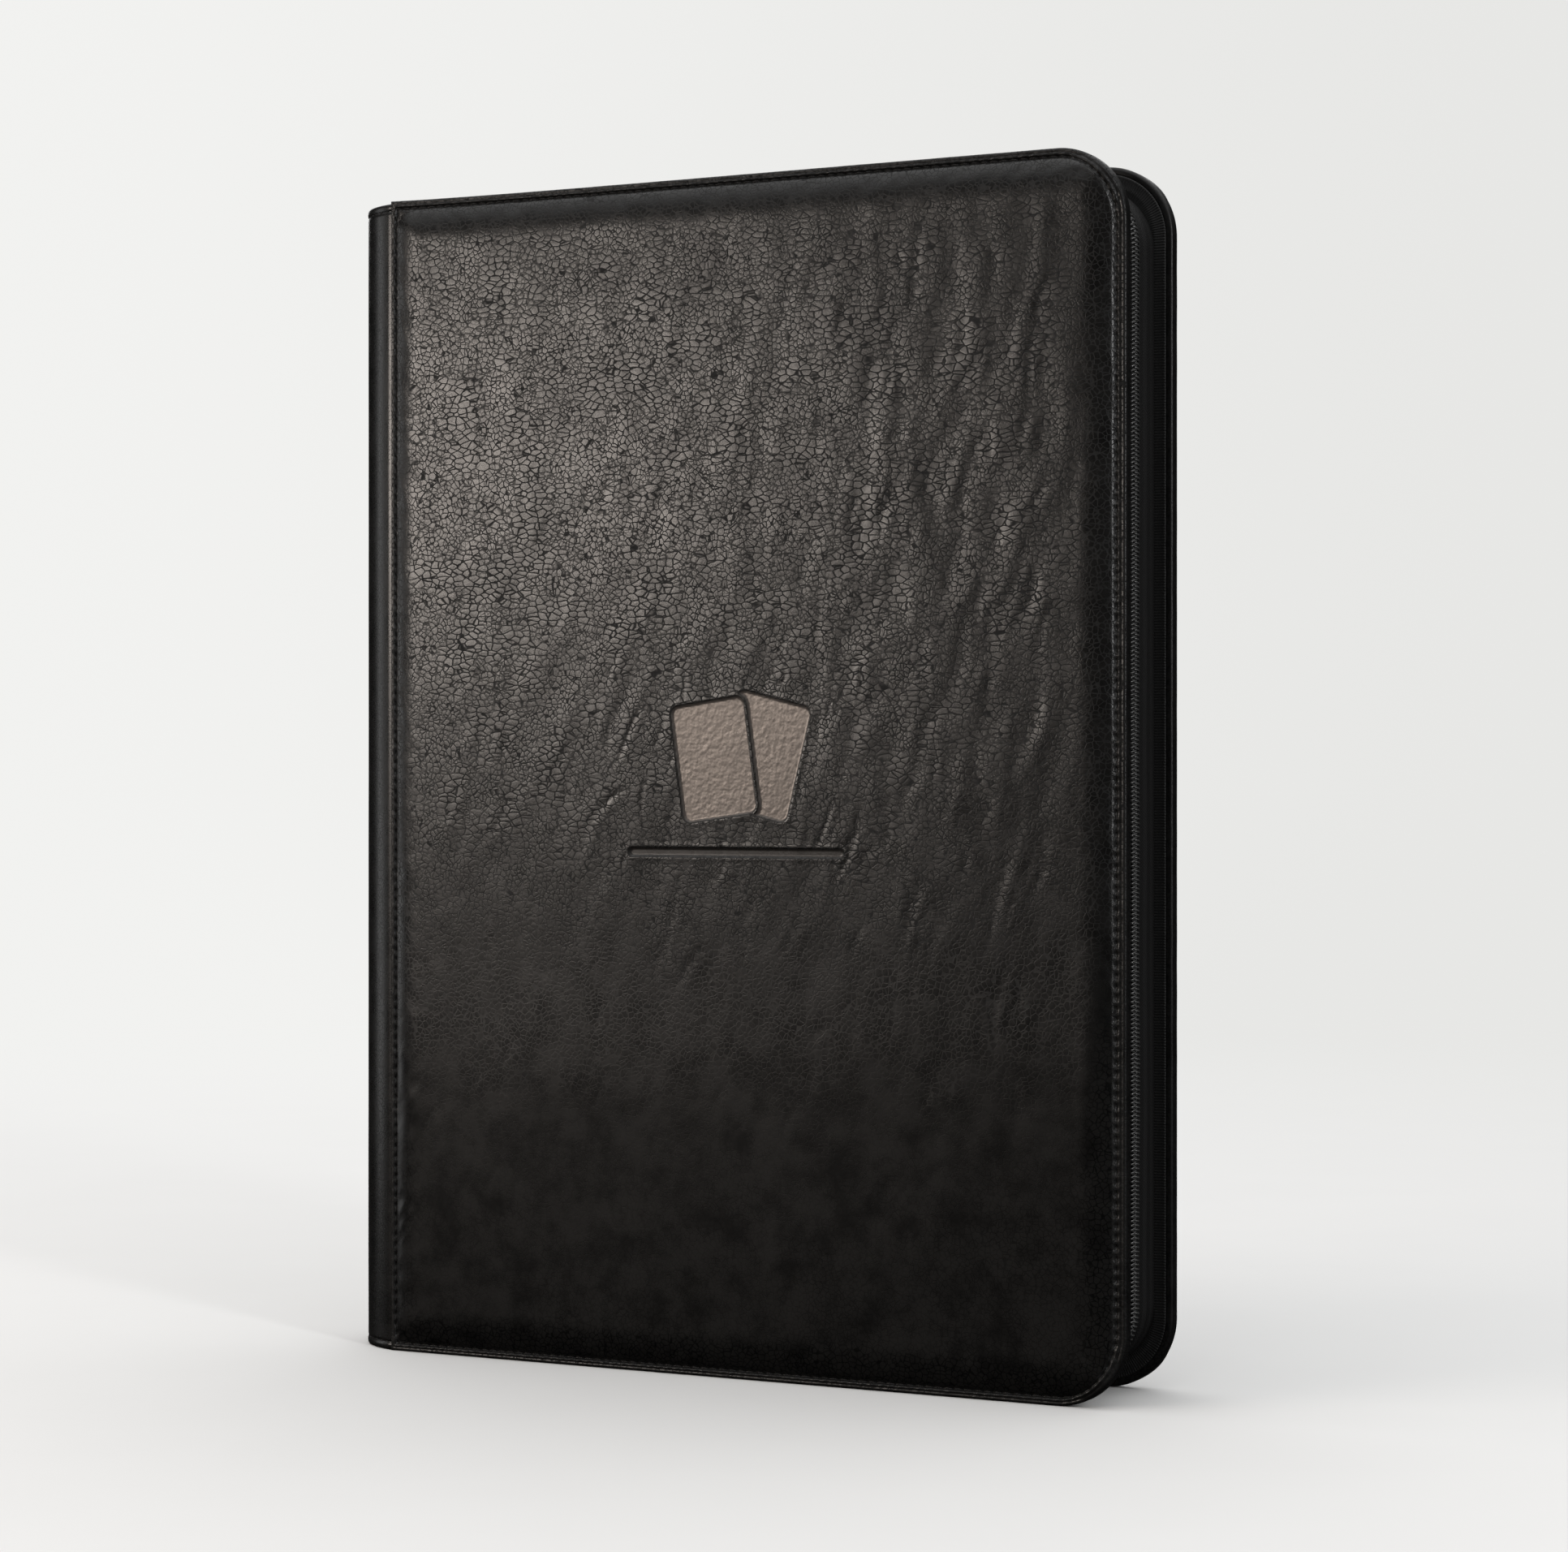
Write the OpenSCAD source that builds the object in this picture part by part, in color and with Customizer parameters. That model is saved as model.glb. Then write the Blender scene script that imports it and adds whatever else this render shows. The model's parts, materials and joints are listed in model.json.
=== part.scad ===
// Zip-around trading card binder, standing on its lower edge.
// X runs from the rounded spine (-X) to the fore-edge (+X), Y from the front cover (-Y)
// to the back cover (+Y), Z up. The origin is at the bottom centre of the whole binder.

/* [Case] */
// Overall width, from the back of the spine to the fore-edge
case_w = 258; // [252:1:262]
// Height of the covers
case_h = 350; // [344:2:360]
// Thickness over the edges of the two covers, without their padding
case_t = 40; // [40:1:46]
// Radius of the two fore-edge corners of each cover
corner_r = 21; // [18:1:24]
// How far the rounded spine bulges past its seams
spine_bulge = 14; // [12:1:16]

/* [Covers] */
// Thickness of a cover at its edge
edge_t = 4; // [4:0.1:4.5]
// Thickness of the leather
skin_t = 0.9; // [0.8:0.1:1]
// Thickness of the stiff board
board_t = 2; // [1.8:0.1:2]
// Thickness of the inner lining
lining_t = 0.7; // [0.5:0.1:0.7]
// How far the padding stands above the cover's edge
pad_h = 2.5; // [2:0.5:4]
// Distance from the cover's edge to its stitching
stitch_inset = 2.4; // [2:0.1:3]

/* [Zip] */
// Distance from the cover's edge to the zip tape
tape_inset = 6.2; // [6:0.1:7]
// Corner radius of the zip tape
tape_r = 19; // [16:1:20]
// Thickness of the zip tape
tape_t = 0.6; // [0.5:0.05:0.6]
// Height of the coil above the tape
coil_h = 1.6; // [1.4:0.1:1.6]
// Width of one half of the coil
coil_w = 2.4; // [2.2:0.1:2.5]
// Length of the slider
slider_l = 12; // [10:1:13]

/* [Pages] */
// Number of pocket pages, half on each side
page_count = 20; // [12:2:20]
// Width of a page
page_w = 214; // [206:1:215]
// Height of a page
page_h = 304; // [290:1:312]
// Thickness of the black backing sheet
backing_t = 0.3; // [0.2:0.05:0.3]
// Thickness of the clear pocket film on each face
film_t = 0.15; // [0.1:0.05:0.15]

/* [Hidden] */
$fn = 64;
fore_x = case_w / 2;
spine_x = -case_w / 2;
half_t = case_t / 2;
// The hinge line of a cover is the centre of the leather's folded edge at the spine.
fold_r = 1;
fold_in = 3;
hinge_x = spine_x + spine_bulge + fold_in;
hinge_y = half_t - fold_r;
inner_y = half_t - edge_t;
ribbon_w = 7.6;
hem_w = 2.2;
// Layers of a cover, as distances from the middle plane of the binder
board_out = half_t - skin_t;
lining_out = board_out - board_t;
ribbon_out = lining_out - lining_t;
fold_play = 0.2;
cover_left = hinge_x + fold_r + fold_play;
pad_foot = 5;
pad_slope = 10;
pad_rim = 0.1;
groove_w = 0.8;
groove_d = 0.35;
thread_d = 0.6;
thread_h = 0.3;
cut = 1;
// Spine: the outline of its leather is part of an ellipse, which dips below the faces of the
// covers where it meets them, at seam_angle from its middle.
spine_over = 0.4;
seam_dip = 0.55;
spine_b = half_t + spine_over;
seam_angle = asin((half_t - seam_dip) / spine_b);
spine_a = (hinge_x - spine_x) / (1 - cos(seam_angle));
spine_cx = spine_x + spine_a;
wrap_t = 1.2;
wrap_play = 0.6;
wrap_reach = acos((spine_cx - hinge_x + fold_r + wrap_play) / spine_a);
stiffener_t = 0.8;
stiffener_gap = 0.15;
stiffener_reach = 50;
spine_lining_x = hinge_x - 5;
spine_lining_t = 0.6;
spine_lining_play = 0.4;
gusset_t = 0.8;
gusset_play = 0.5;
gusset_overlap = 1.6;
spine_margin = 12;
curve_steps = 32;
// Pages: the hinges of the middle pages stand further out, so that a fanned page clears its neighbour.
page_side_play = 1;
page_pitch = 2 * (inner_y - page_side_play) / page_count;
page_hinge_x = hinge_x + 8;
page_step_out = 4.4;
page_t = backing_t + 2 * film_t;
film_margin = 3;
film_start = 9;
leaf_t = 0.6;
leaf_gap = 0.6;
leaf_root = 0.2;
binding_t = 1.5;
// Zip
tape_end_x = hinge_x + 2;
coil_gap = 1.2;
// The slider parks far enough from the hinge that the front tape's stop swings past it.
slider_x = hinge_x + 19;
coil_start_gap = 2.5;
coil_start_x = slider_x + slider_l / 2 + coil_start_gap;
coil_out = tape_inset - coil_h;
tape_edge_y = coil_gap / 2 + 0.5;
stop_l = 1.6;
stop_w = 2.2;
top_stop_in = 0.6;
bottom_stop_in = 2;
bottom_coil_gap = 1;
// Slider and pull
slider_play = 0.3;
wing_t = 1.2;
wing_tail = 2;
rim_w = 1;
rim_play = 0.4;
rim_short = 2;
wedge_l = 5;
wedge_w = 0.8;
bridge_l = 8;
bridge_w = 2.4;
bridge_t = 0.9;
bridge_leg = 1.4;
pull_l = 22;
pull_w = 7;
pull_t = 1;
pull_pin_r = 0.6;
pull_pin_grip = 0.5;
pull_neck_l = 7;
pull_neck_w = 5.4;
pull_slot_l = 5.4;
pull_hole_r = 1.6;
wing_top_z = case_h - coil_out + slider_play + wing_t;
pull_pin_z = wing_top_z + slider_play + pull_t / 2;
page_names = [for (i = [1 : page_count]) str("page_", i < 10 ? "0" : "", i)];

// ---- Shapes that repeat -------------------------------------------------------------

// An outline in X and Z, given a thickness between two distances along Y.
module slab(y_low, y_high) {
    translate([0, y_high, 0]) rotate([90, 0, 0]) linear_extrude(height = y_high - y_low) children();
}

// A cover's outline, moved in by inset: square at the spine, round at the fore-edge.
module cover_outline(inset, left, r = corner_r) {
    right = fore_x - inset;
    round_r = max(r - inset, 1);
    height = case_h - 2 * inset;
    difference() {
        translate([left, inset]) square([right - left, height]);
        for (top = [0, 1]) corner_waste(right, top ? case_h - inset : inset, round_r, top);
    }
}

// What a round corner takes off a square one.
module corner_waste(x, z, r, top) {
    sign = top ? 1 : -1;
    difference() {
        translate([x - r, top ? z - r : z - cut]) square([r + cut, r + cut]);
        translate([x - r, z - sign * r]) circle(r);
    }
}

// A band that follows the cover's outline between two insets.
module band(inset, width, left) {
    difference() {
        cover_outline(inset, left);
        cover_outline(inset + width, left - cut);
    }
}

// The zip's path, an outline with its own corner radius that is open towards the spine.
module zip_band(inset, width, left) {
    difference() {
        cover_outline(inset, left, tape_r + inset);
        cover_outline(inset + width, left - cut, tape_r + inset);
    }
}

// The spine's rounded outline in X and Y, moved in by inset, up to an angle of reach degrees
// on both sides of its middle.
function spine_arc(inset, reach) = [for (i = [-curve_steps / 2 : curve_steps / 2])
    let (a = 2 * reach * i / curve_steps)
    [spine_cx - (spine_a - inset) * cos(a), (spine_b - inset) * sin(a)]];

// How wide the rounded outline is at x, to one side of its middle.
function spine_half_w(inset, x) = (spine_b - inset) * sin(acos((spine_cx - x) / (spine_a - inset)));

function reversed(list) = [for (i = [len(list) - 1 : -1 : 0]) list[i]];

// One layer of the spine, between two insets.
module spine_shell(inset, thickness, reach, height) {
    linear_extrude(height = height)
        polygon(concat(spine_arc(inset, reach), reversed(spine_arc(inset + thickness, reach))));
}

// A raised pad with sloping sides, its foot at y_foot and its top at y_top.
module pad(foot_inset, y_foot, y_top) {
    foot_left = hinge_x + foot_inset;
    hull() {
        slab(-y_foot - pad_rim, -y_foot) cover_outline(foot_inset, foot_left, $fn = 32);
        slab(-y_top, -y_top + pad_rim)
            cover_outline(foot_inset + pad_slope, foot_left + pad_slope, corner_r + 8, $fn = 32);
    }
}

// ---- Emblem: two overlapping cards and a rule, pressed into the front cover --------------

emblem_x = (hinge_x + fore_x) / 2;
emblem_z = case_h / 2 + 5;
emblem_depth = 0.4;
card_w = 24;
card_h = 34;
card_r = 2.5;
card_line = 1.1;
// Middle and lean of each card
near_card = [-7, 0, -8];
far_card = [9, 1, 14];
rule_w = 70;
rule_h = 2.4;
rule_drop = 27;

module card_shape(card, grow = 0) {
    w = card_w + 2 * grow;
    h = card_h + 2 * grow;
    r = card_r + grow;
    translate([card[0], card[1]]) rotate(-card[2]) union() {
        square([w - 2 * r, h], center = true);
        square([w, h - 2 * r], center = true);
        for (sx = [-1, 1], sz = [-1, 1]) translate([sx * (w / 2 - r), sz * (h / 2 - r)]) circle(r);
    }
}

module emblem() {
    translate([emblem_x, emblem_z]) {
        card_shape(near_card);
        difference() {
            card_shape(far_card);
            card_shape(near_card, card_line);
        }
        translate([-rule_w / 2, -rule_drop - rule_h / 2]) square([rule_w, rule_h]);
    }
}

// ---- Covers: drawn as the front one, and mirrored for the back ---------------------------

module cover_skin(with_emblem = false) {
    color("#1a1a1a") difference() {
        union() {
            slab(-half_t, -inner_y) cover_outline(0, hinge_x);
            pad(pad_foot, half_t - pad_rim, half_t + pad_h);
            translate([hinge_x, -hinge_y, 0]) cylinder(r = fold_r, h = case_h);
        }
        slab(-board_out, -ribbon_out) cover_outline(skin_t, cover_left);
        slab(-ribbon_out, -inner_y + cut) cover_outline(hem_w, cover_left);
        pad(pad_foot + skin_t, board_out, board_out + pad_h);
        slab(-half_t - cut, -half_t + groove_d)
            band(stitch_inset - groove_w / 2, groove_w, hinge_x + stitch_inset);
        slab(-half_t - cut, -half_t + groove_d)
            translate([hinge_x + stitch_inset - groove_w / 2, stitch_inset])
                square([groove_w, case_h - 2 * stitch_inset]);
        if (with_emblem) slab(-half_t - pad_h - cut, -half_t - pad_h + emblem_depth) emblem();
    }
}

module cover_foam() {
    color("#8a8a86") pad(pad_foot + skin_t, board_out, board_out + pad_h);
}

module cover_board() {
    color("#7b6a52") slab(-board_out, -lining_out) cover_outline(skin_t, cover_left);
}

module cover_lining() {
    color("#161616") slab(-lining_out, -ribbon_out) cover_outline(skin_t, cover_left);
}

module margin_ribbon() {
    color("#202020") slab(-ribbon_out, -inner_y) band(hem_w, ribbon_w - hem_w, cover_left);
}

module cover_stitching() {
    left = hinge_x + stitch_inset;
    color("#0c0c0c") slab(-half_t + groove_d - thread_h, -half_t + groove_d) union() {
        band(stitch_inset - thread_d / 2, thread_d, left);
        translate([left - thread_d / 2, stitch_inset - thread_d / 2])
            square([thread_d, case_h - 2 * stitch_inset + thread_d]);
    }
}

module zip_tape() {
    color("#181818") slab(-inner_y, -tape_edge_y) zip_band(tape_inset, tape_t, tape_end_x);
}

// The coil runs from the slider's parking place round to the bottom stop.
module zip_coil() {
    bottom_left = tape_end_x + bottom_stop_in + stop_l + bottom_coil_gap;
    color("#2a2a2a") slab(-coil_gap / 2 - coil_w, -coil_gap / 2) difference() {
        zip_band(coil_out, coil_h, bottom_left);
        translate([bottom_left - cut, case_h - tape_inset - cut])
            square([coil_start_x - bottom_left + cut, tape_inset]);
    }
}

module zip_top_stop() {
    color("#303030")
        translate([tape_end_x + top_stop_in, -coil_gap / 2 - stop_w, case_h - tape_inset])
            cube([stop_l, stop_w, coil_h]);
}

module back_half() {
    mirror([0, 1, 0]) children();
}

// ---- Zip ends, slider and pull -----------------------------------------------------------

// Crimped to the back tape only, so that the front tape can swing away from it.
module zip_bottom_stop() {
    free_y = coil_gap / 2;
    color("#303030") translate([tape_end_x + bottom_stop_in, -free_y, tape_inset - coil_h])
        cube([stop_l, free_y + coil_gap / 2 + coil_w, coil_h]);
}

module zip_slider() {
    coil_top_z = case_h - coil_out;
    tape_low_z = case_h - tape_inset - tape_t;
    wing_w = 2 * (coil_gap / 2 + coil_w + rim_play + rim_w);
    rim_z = case_h - tape_inset + slider_play;
    wedge_z = tape_low_z - slider_play - wing_t / 2;
    color("#3a3a3a") translate([slider_x, 0, 0]) union() {
        // upper and lower wings, round at the tail
        for (z = [coil_top_z + slider_play, tape_low_z - slider_play - wing_t])
            translate([0, 0, z]) intersection() {
                translate([-slider_l / 2, -wing_w / 2, 0]) cube([slider_l, wing_w, wing_t]);
                translate([wing_tail - slider_l / 2, 0, 0]) cylinder(r = slider_l - wing_tail, h = wing_t);
            }
        // rims that hold the coil down, over the tape
        for (side = [-1, 1])
            translate([-slider_l / 2, side * (wing_w - rim_w) / 2 - rim_w / 2, rim_z])
                cube([slider_l - rim_short, rim_w, coil_top_z + slider_play + wing_t / 2 - rim_z]);
        // wedge between the two halves of the coil
        translate([-slider_l / 2, -wedge_w / 2, wedge_z])
            cube([wedge_l, wedge_w, coil_top_z + slider_play + wing_t / 2 - wedge_z]);
        slider_bridge();
    }
}

// The arch over the upper wing that the pull hangs from.
module slider_bridge() {
    inner_h = 2 * pull_pin_r + 2 * slider_play;
    inner_l = bridge_l - 2 * bridge_leg;
    translate([0, 0, wing_top_z]) difference() {
        translate([-bridge_l / 2, -bridge_w / 2, -wing_t / 2])
            cube([bridge_l, bridge_w, inner_h + bridge_t + wing_t / 2]);
        translate([-inner_l / 2, -bridge_w / 2 - cut, 0]) cube([inner_l, bridge_w + 2 * cut, inner_h]);
    }
}

// The pull lies flat, pointing at the fore-edge. Its cross-pin passes under the bridge.
module zip_pull() {
    arm_y = bridge_w / 2 + slider_play;
    round_x = pull_l - pull_w / 2;
    color("#343434") translate([slider_x, 0, pull_pin_z]) {
        rotate([90, 0, 0]) cylinder(r = pull_pin_r, h = 2 * (arm_y + pull_pin_grip), center = true);
        difference() {
            translate([0, 0, -pull_t / 2]) union() {
                translate([-pull_pin_r, -pull_neck_w / 2, 0])
                    cube([pull_neck_l + 2 * pull_pin_r, pull_neck_w, pull_t]);
                translate([pull_neck_l, -pull_w / 2, 0]) cube([round_x - pull_neck_l, pull_w, pull_t]);
                translate([round_x, 0, 0]) cylinder(r = pull_w / 2, h = pull_t);
            }
            translate([-cut, -arm_y, -pull_t]) cube([pull_slot_l + cut, 2 * arm_y, 2 * pull_t]);
            translate([round_x, 0, -pull_t]) cylinder(r = pull_hole_r, h = 2 * pull_t);
        }
    }
}

// ---- Spine ------------------------------------------------------------------------------

// The outermost layer leaves out the two grooves that the hem stitching lies in.
module spine_wrap() {
    groove_low = stitch_inset - thread_d / 2;
    groove_top = stitch_inset + thread_d / 2;
    spans = [[0, groove_low], [groove_top, case_h - groove_top], [case_h - groove_low, case_h]];
    color("#1a1a1a") union() {
        spine_shell(thread_h, wrap_t - thread_h, wrap_reach, case_h);
        for (span = spans) translate([0, 0, span[0]])
            spine_shell(0, wrap_t, wrap_reach, span[1] - span[0]);
    }
}

module spine_hem_stitching() {
    color("#0c0c0c") for (z = [stitch_inset, case_h - stitch_inset]) translate([0, 0, z - thread_d / 2])
        spine_shell(0, thread_h, wrap_reach, thread_d);
}

module spine_stiffener() {
    color("#4a4a48") translate([0, 0, spine_margin])
        spine_shell(wrap_t + stiffener_gap, stiffener_t, stiffener_reach, case_h - 2 * spine_margin);
}

// Flat cloth strip across the hollow spine; the page binding is glued to it.
module spine_lining() {
    back_x = spine_lining_x - spine_lining_t;
    reach = spine_half_w(wrap_t, back_x) - spine_lining_play;
    color("#161616") translate([back_x, -reach, spine_margin])
        cube([spine_lining_t, 2 * reach, case_h - 2 * spine_margin]);
}

// Cloth panel that closes one end of the hollow spine, where the zip tapes end.
module spine_gusset(z) {
    end_x = hinge_x + gusset_overlap;
    reach = inner_y - gusset_play;
    color("#1a1a1a") translate([0, 0, z]) linear_extrude(height = gusset_t) polygon(concat(
        [[end_x, -reach]], spine_arc(wrap_t, asin(reach / (spine_b - wrap_t))), [[end_x, reach]]));
}

// A base strip with one leaf for each page. A page hinges on the edge of its leaf.
module page_binding() {
    base_x = spine_lining_x;
    base_w = page_pitch * page_count;
    color("#101010") translate([0, 0, (case_h - page_h) / 2]) union() {
        translate([base_x, -base_w / 2, 0]) cube([binding_t, base_w, page_h]);
        for (i = [1 : page_count])
            translate([base_x + binding_t - leaf_root, page_y(i) - leaf_t / 2, 0])
                cube([page_x(i) - leaf_gap - base_x - binding_t + leaf_root, leaf_t, page_h]);
    }
}

// ---- Pages ------------------------------------------------------------------------------

function page_y(i) = (i - (page_count + 1) / 2) * page_pitch;
// How many pages lie between this one and the nearer cover
function page_rank(i) = min(i - 1, page_count - i);
function page_x(i) = page_hinge_x
    + page_step_out * (1 - pow(1 - page_rank(i) / (page_count / 2 - 1), 2));

// A black backing sheet with a rolled hinge edge, and a clear pocket film on each face.
module page(i) {
    film_w = page_w - film_margin - film_start;
    translate([page_x(i), page_y(i), (case_h - page_h) / 2]) {
        color("#141414") union() {
            cylinder(r = page_t / 2, h = page_h);
            translate([0, -backing_t / 2, 0]) cube([page_w, backing_t, page_h]);
        }
        for (side = [-1, 1])
            color("#b8c0c8")
                translate([film_start, side * (backing_t + film_t) / 2 - film_t / 2, film_margin])
                    cube([film_w, film_t, page_h - 2 * film_margin]);
    }
}

// ---- Nodes ------------------------------------------------------------------------------

cover_skin(with_emblem = true);  // front_cover_skin
cover_foam();  // front_cover_foam
cover_board();  // front_cover_board
cover_lining();  // front_cover_lining
margin_ribbon();  // front_margin_ribbon
cover_stitching();  // front_cover_stitching
zip_tape();  // front_zip_tape
zip_coil();  // front_zip_coil
zip_top_stop();  // front_zip_top_stop
back_half() cover_skin();  // back_cover_skin
back_half() cover_foam();  // back_cover_foam
back_half() cover_board();  // back_cover_board
back_half() cover_lining();  // back_cover_lining
back_half() margin_ribbon();  // back_margin_ribbon
back_half() cover_stitching();  // back_cover_stitching
back_half() zip_tape();  // back_zip_tape
back_half() zip_coil();  // back_zip_coil
back_half() zip_top_stop();  // back_zip_top_stop
zip_bottom_stop();
spine_wrap();
spine_stiffener();
spine_lining();
spine_hem_stitching();
spine_gusset(case_h - tape_inset - gusset_t);  // spine_gusset_top
spine_gusset(tape_inset);  // spine_gusset_bottom
page_binding();
zip_slider();
zip_pull();
for (i = [1 : page_count]) page(i);
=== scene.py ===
"""Looks of the zip-around card binder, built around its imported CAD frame.

Lengths are in millimetres until a mesh is made. X runs from the spine to the fore-edge, Y from the
front cover to the back cover, and Z up. A cover's pieces are built for the front, where outwards is
-Y, and mirrored in Y for the back.
"""
import json
import math

import bmesh
import bpy
import numpy as np
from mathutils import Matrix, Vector

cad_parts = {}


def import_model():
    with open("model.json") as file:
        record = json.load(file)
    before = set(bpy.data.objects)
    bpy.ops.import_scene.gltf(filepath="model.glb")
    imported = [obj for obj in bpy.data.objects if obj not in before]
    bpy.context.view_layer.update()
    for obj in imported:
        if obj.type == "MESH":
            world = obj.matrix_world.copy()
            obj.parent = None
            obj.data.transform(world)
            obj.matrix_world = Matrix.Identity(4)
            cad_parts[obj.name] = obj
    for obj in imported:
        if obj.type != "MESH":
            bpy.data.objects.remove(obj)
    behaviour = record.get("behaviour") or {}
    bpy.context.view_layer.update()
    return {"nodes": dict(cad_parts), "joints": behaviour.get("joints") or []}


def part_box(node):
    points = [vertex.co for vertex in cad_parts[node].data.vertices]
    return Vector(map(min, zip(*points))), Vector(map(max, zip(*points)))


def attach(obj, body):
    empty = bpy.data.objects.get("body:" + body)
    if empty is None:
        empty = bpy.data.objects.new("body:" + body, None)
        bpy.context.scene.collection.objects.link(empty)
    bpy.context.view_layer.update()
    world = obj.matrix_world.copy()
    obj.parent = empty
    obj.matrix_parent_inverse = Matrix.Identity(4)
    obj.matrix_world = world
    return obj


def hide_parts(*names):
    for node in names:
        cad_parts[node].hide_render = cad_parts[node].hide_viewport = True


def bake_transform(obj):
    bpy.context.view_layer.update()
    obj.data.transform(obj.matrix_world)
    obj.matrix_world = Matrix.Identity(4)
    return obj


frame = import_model()

# ---- Sizes, from the frame ----

MM = 1000.0


def node_box(node):
    low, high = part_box(node)
    return np.array(low) * MM, np.array(high) * MM


def joint_point(name):
    return np.array(next(j["pos_m"] for j in frame["joints"] if j["name"] == name)) * MM


SKIN_LOW, SKIN_HIGH = node_box("front_cover_skin")
TAPE_LOW, TAPE_HIGH = node_box("front_zip_tape")
COIL_LOW = node_box("front_zip_coil")[0]
RIBBON_LOW = node_box("front_margin_ribbon")[0]
WRAP_LOW = node_box("spine_wrap")[0]
LINING_HIGH = node_box("spine_lining")[1]

FORE_X = SKIN_HIGH[0]
CASE_H = SKIN_HIGH[2]
INNER_Y = -SKIN_HIGH[1]
HINGE_X, FRONT_HINGE_Y = joint_point("front_cover_hinge")[:2]
HINGE_Y = -FRONT_HINGE_Y
FOLD_R = 1.0
EDGE_Y = HINGE_Y + FOLD_R
PAD_H = -SKIN_LOW[1] - EDGE_Y
CORNER_R = 21.0
FOLD_PLAY = 0.6
FOLD_X = HINGE_X + FOLD_PLAY
TAPE_INSET = TAPE_LOW[2]
TAPE_R = 19.0
COIL_H = TAPE_INSET - COIL_LOW[2]
RIBBON_INSET = RIBBON_LOW[2]
PAGES = sorted(n for n in frame["nodes"] if n.startswith("page_") and n[5:].isdigit())

# Distances of the stitching from the edge, then the pitches of what repeats.
SEAM = 2.4
SEAM_SPINE = 1.8
SEAM_FORE = 3.1
STITCH_PITCH = 3.0
COIL_PITCH = 1.23
RIB_PITCH = 0.8
SIDES = {"front": 1, "back": -1}
SEEDS = {"front": 20, "back": 60}

# ---- Small tools ----


def smooth(x):
    x = np.clip(x, 0, 1)
    return x * x * (3 - 2 * x)


def bell(x, centre, width):
    return np.exp(-(((x - centre) / width) ** 2))


def hashed(ix, iy, seed):
    """A random number from 0 to 1 for each lattice point."""
    n = (ix * 374761393 + iy * 668265263 + seed * 974634777) & 0xFFFFFFFF
    n = ((n ^ (n >> 13)) * 1274126177) & 0xFFFFFFFF
    return ((n ^ (n >> 16)) & 0xFFFFFF) / 0xFFFFFF


def noise(x, y, seed):
    """Gradient noise, about -0.7 to 0.7, one lump for each unit of x and y."""
    x, y = np.broadcast_arrays(np.asarray(x, float), np.asarray(y, float))
    ix, iy = np.floor(x).astype(np.int64), np.floor(y).astype(np.int64)
    fx, fy = x - ix, y - iy
    u, v = (f**3 * (f * (6 * f - 15) + 10) for f in (fx, fy))
    corner = {}
    for dx in (0, 1):
        for dy in (0, 1):
            a = 2 * math.pi * hashed(ix + dx, iy + dy, seed)
            corner[dx, dy] = np.cos(a) * (fx - dx) + np.sin(a) * (fy - dy)
    low = corner[0, 0] * (1 - u) + corner[1, 0] * u
    high = corner[0, 1] * (1 - u) + corner[1, 1] * u
    return low * (1 - v) + high * v


def unit(vectors):
    return vectors / np.linalg.norm(vectors, axis=1)[:, None]


def distance_along(line):
    return np.concatenate([[0], np.cumsum(np.linalg.norm(np.diff(line, axis=0), axis=1))])


def add_object(name, data):
    thing = bpy.data.objects.new(name, data)
    bpy.context.scene.collection.objects.link(thing)
    return thing


def mesh_piece(name, points, faces, material, numbers=None, uv=None, is_smooth=True):
    """A mesh object from points in millimetres. numbers holds arrays with a number for each point that
    the leather material reads. uv, if given, is a pair of millimetre measures for each point."""
    mesh = bpy.data.meshes.new(name)
    mesh.from_pydata((np.asarray(points, float) / MM).tolist(), [], faces)
    for key, values in (numbers or {}).items():
        attribute = mesh.attributes.new(key, "FLOAT", "POINT")
        attribute.data.foreach_set("value", np.asarray(values, np.float32))
    if uv is not None:
        corners = np.zeros(len(mesh.loops), np.int32)
        mesh.loops.foreach_get("vertex_index", corners)
        layer = mesh.uv_layers.new(name="UVMap")
        layer.data.foreach_set("uv", np.asarray(uv, np.float32)[corners].ravel())
    mesh.materials.append(material)
    mesh.polygons.foreach_set("use_smooth", [is_smooth] * len(mesh.polygons))
    mesh.update()
    return add_object(name, mesh)


def tidy(piece, merge=True):
    """Joins points that lie on each other and turns the faces outwards."""
    mesh = bmesh.new()
    mesh.from_mesh(piece.data)
    if merge:
        bmesh.ops.remove_doubles(mesh, verts=mesh.verts, dist=2e-6)
    bmesh.ops.recalc_face_normals(mesh, faces=mesh.faces)
    mesh.to_mesh(piece.data)
    mesh.free()
    return piece


def strip_faces(rows, columns, closed=False):
    """Quads between the rows of a grid whose points are listed row by row."""
    faces = []
    for r in range(rows - 1):
        for c in range(columns if closed else columns - 1):
            d = (c + 1) % columns
            faces.append((r * columns + c, r * columns + d, (r + 1) * columns + d, (r + 1) * columns + c))
    return faces


def tube_faces(rows, columns):
    """The quads of a closed strip, and a face across each end."""
    last = (rows - 1) * columns
    ends = [tuple(range(columns))[::-1], tuple(last + i for i in range(columns))]
    return strip_faces(rows, columns, closed=True) + ends


def mirrored(points, side):
    """Points built for the front, as they are or mirrored for the back."""
    return np.asarray(points, float) * (1, SIDES[side], 1)


def cover_piece(side, name, points, faces, material, slot, merge=False, **mesh_data):
    """A piece that moves with a cover."""
    piece = mesh_piece(f"{side}_{name}", mirrored(points, side), faces, material, **mesh_data)
    tidy(piece, merge)
    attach(piece, f"{side}_cover")
    return piece


# ---- Materials ----


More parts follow.
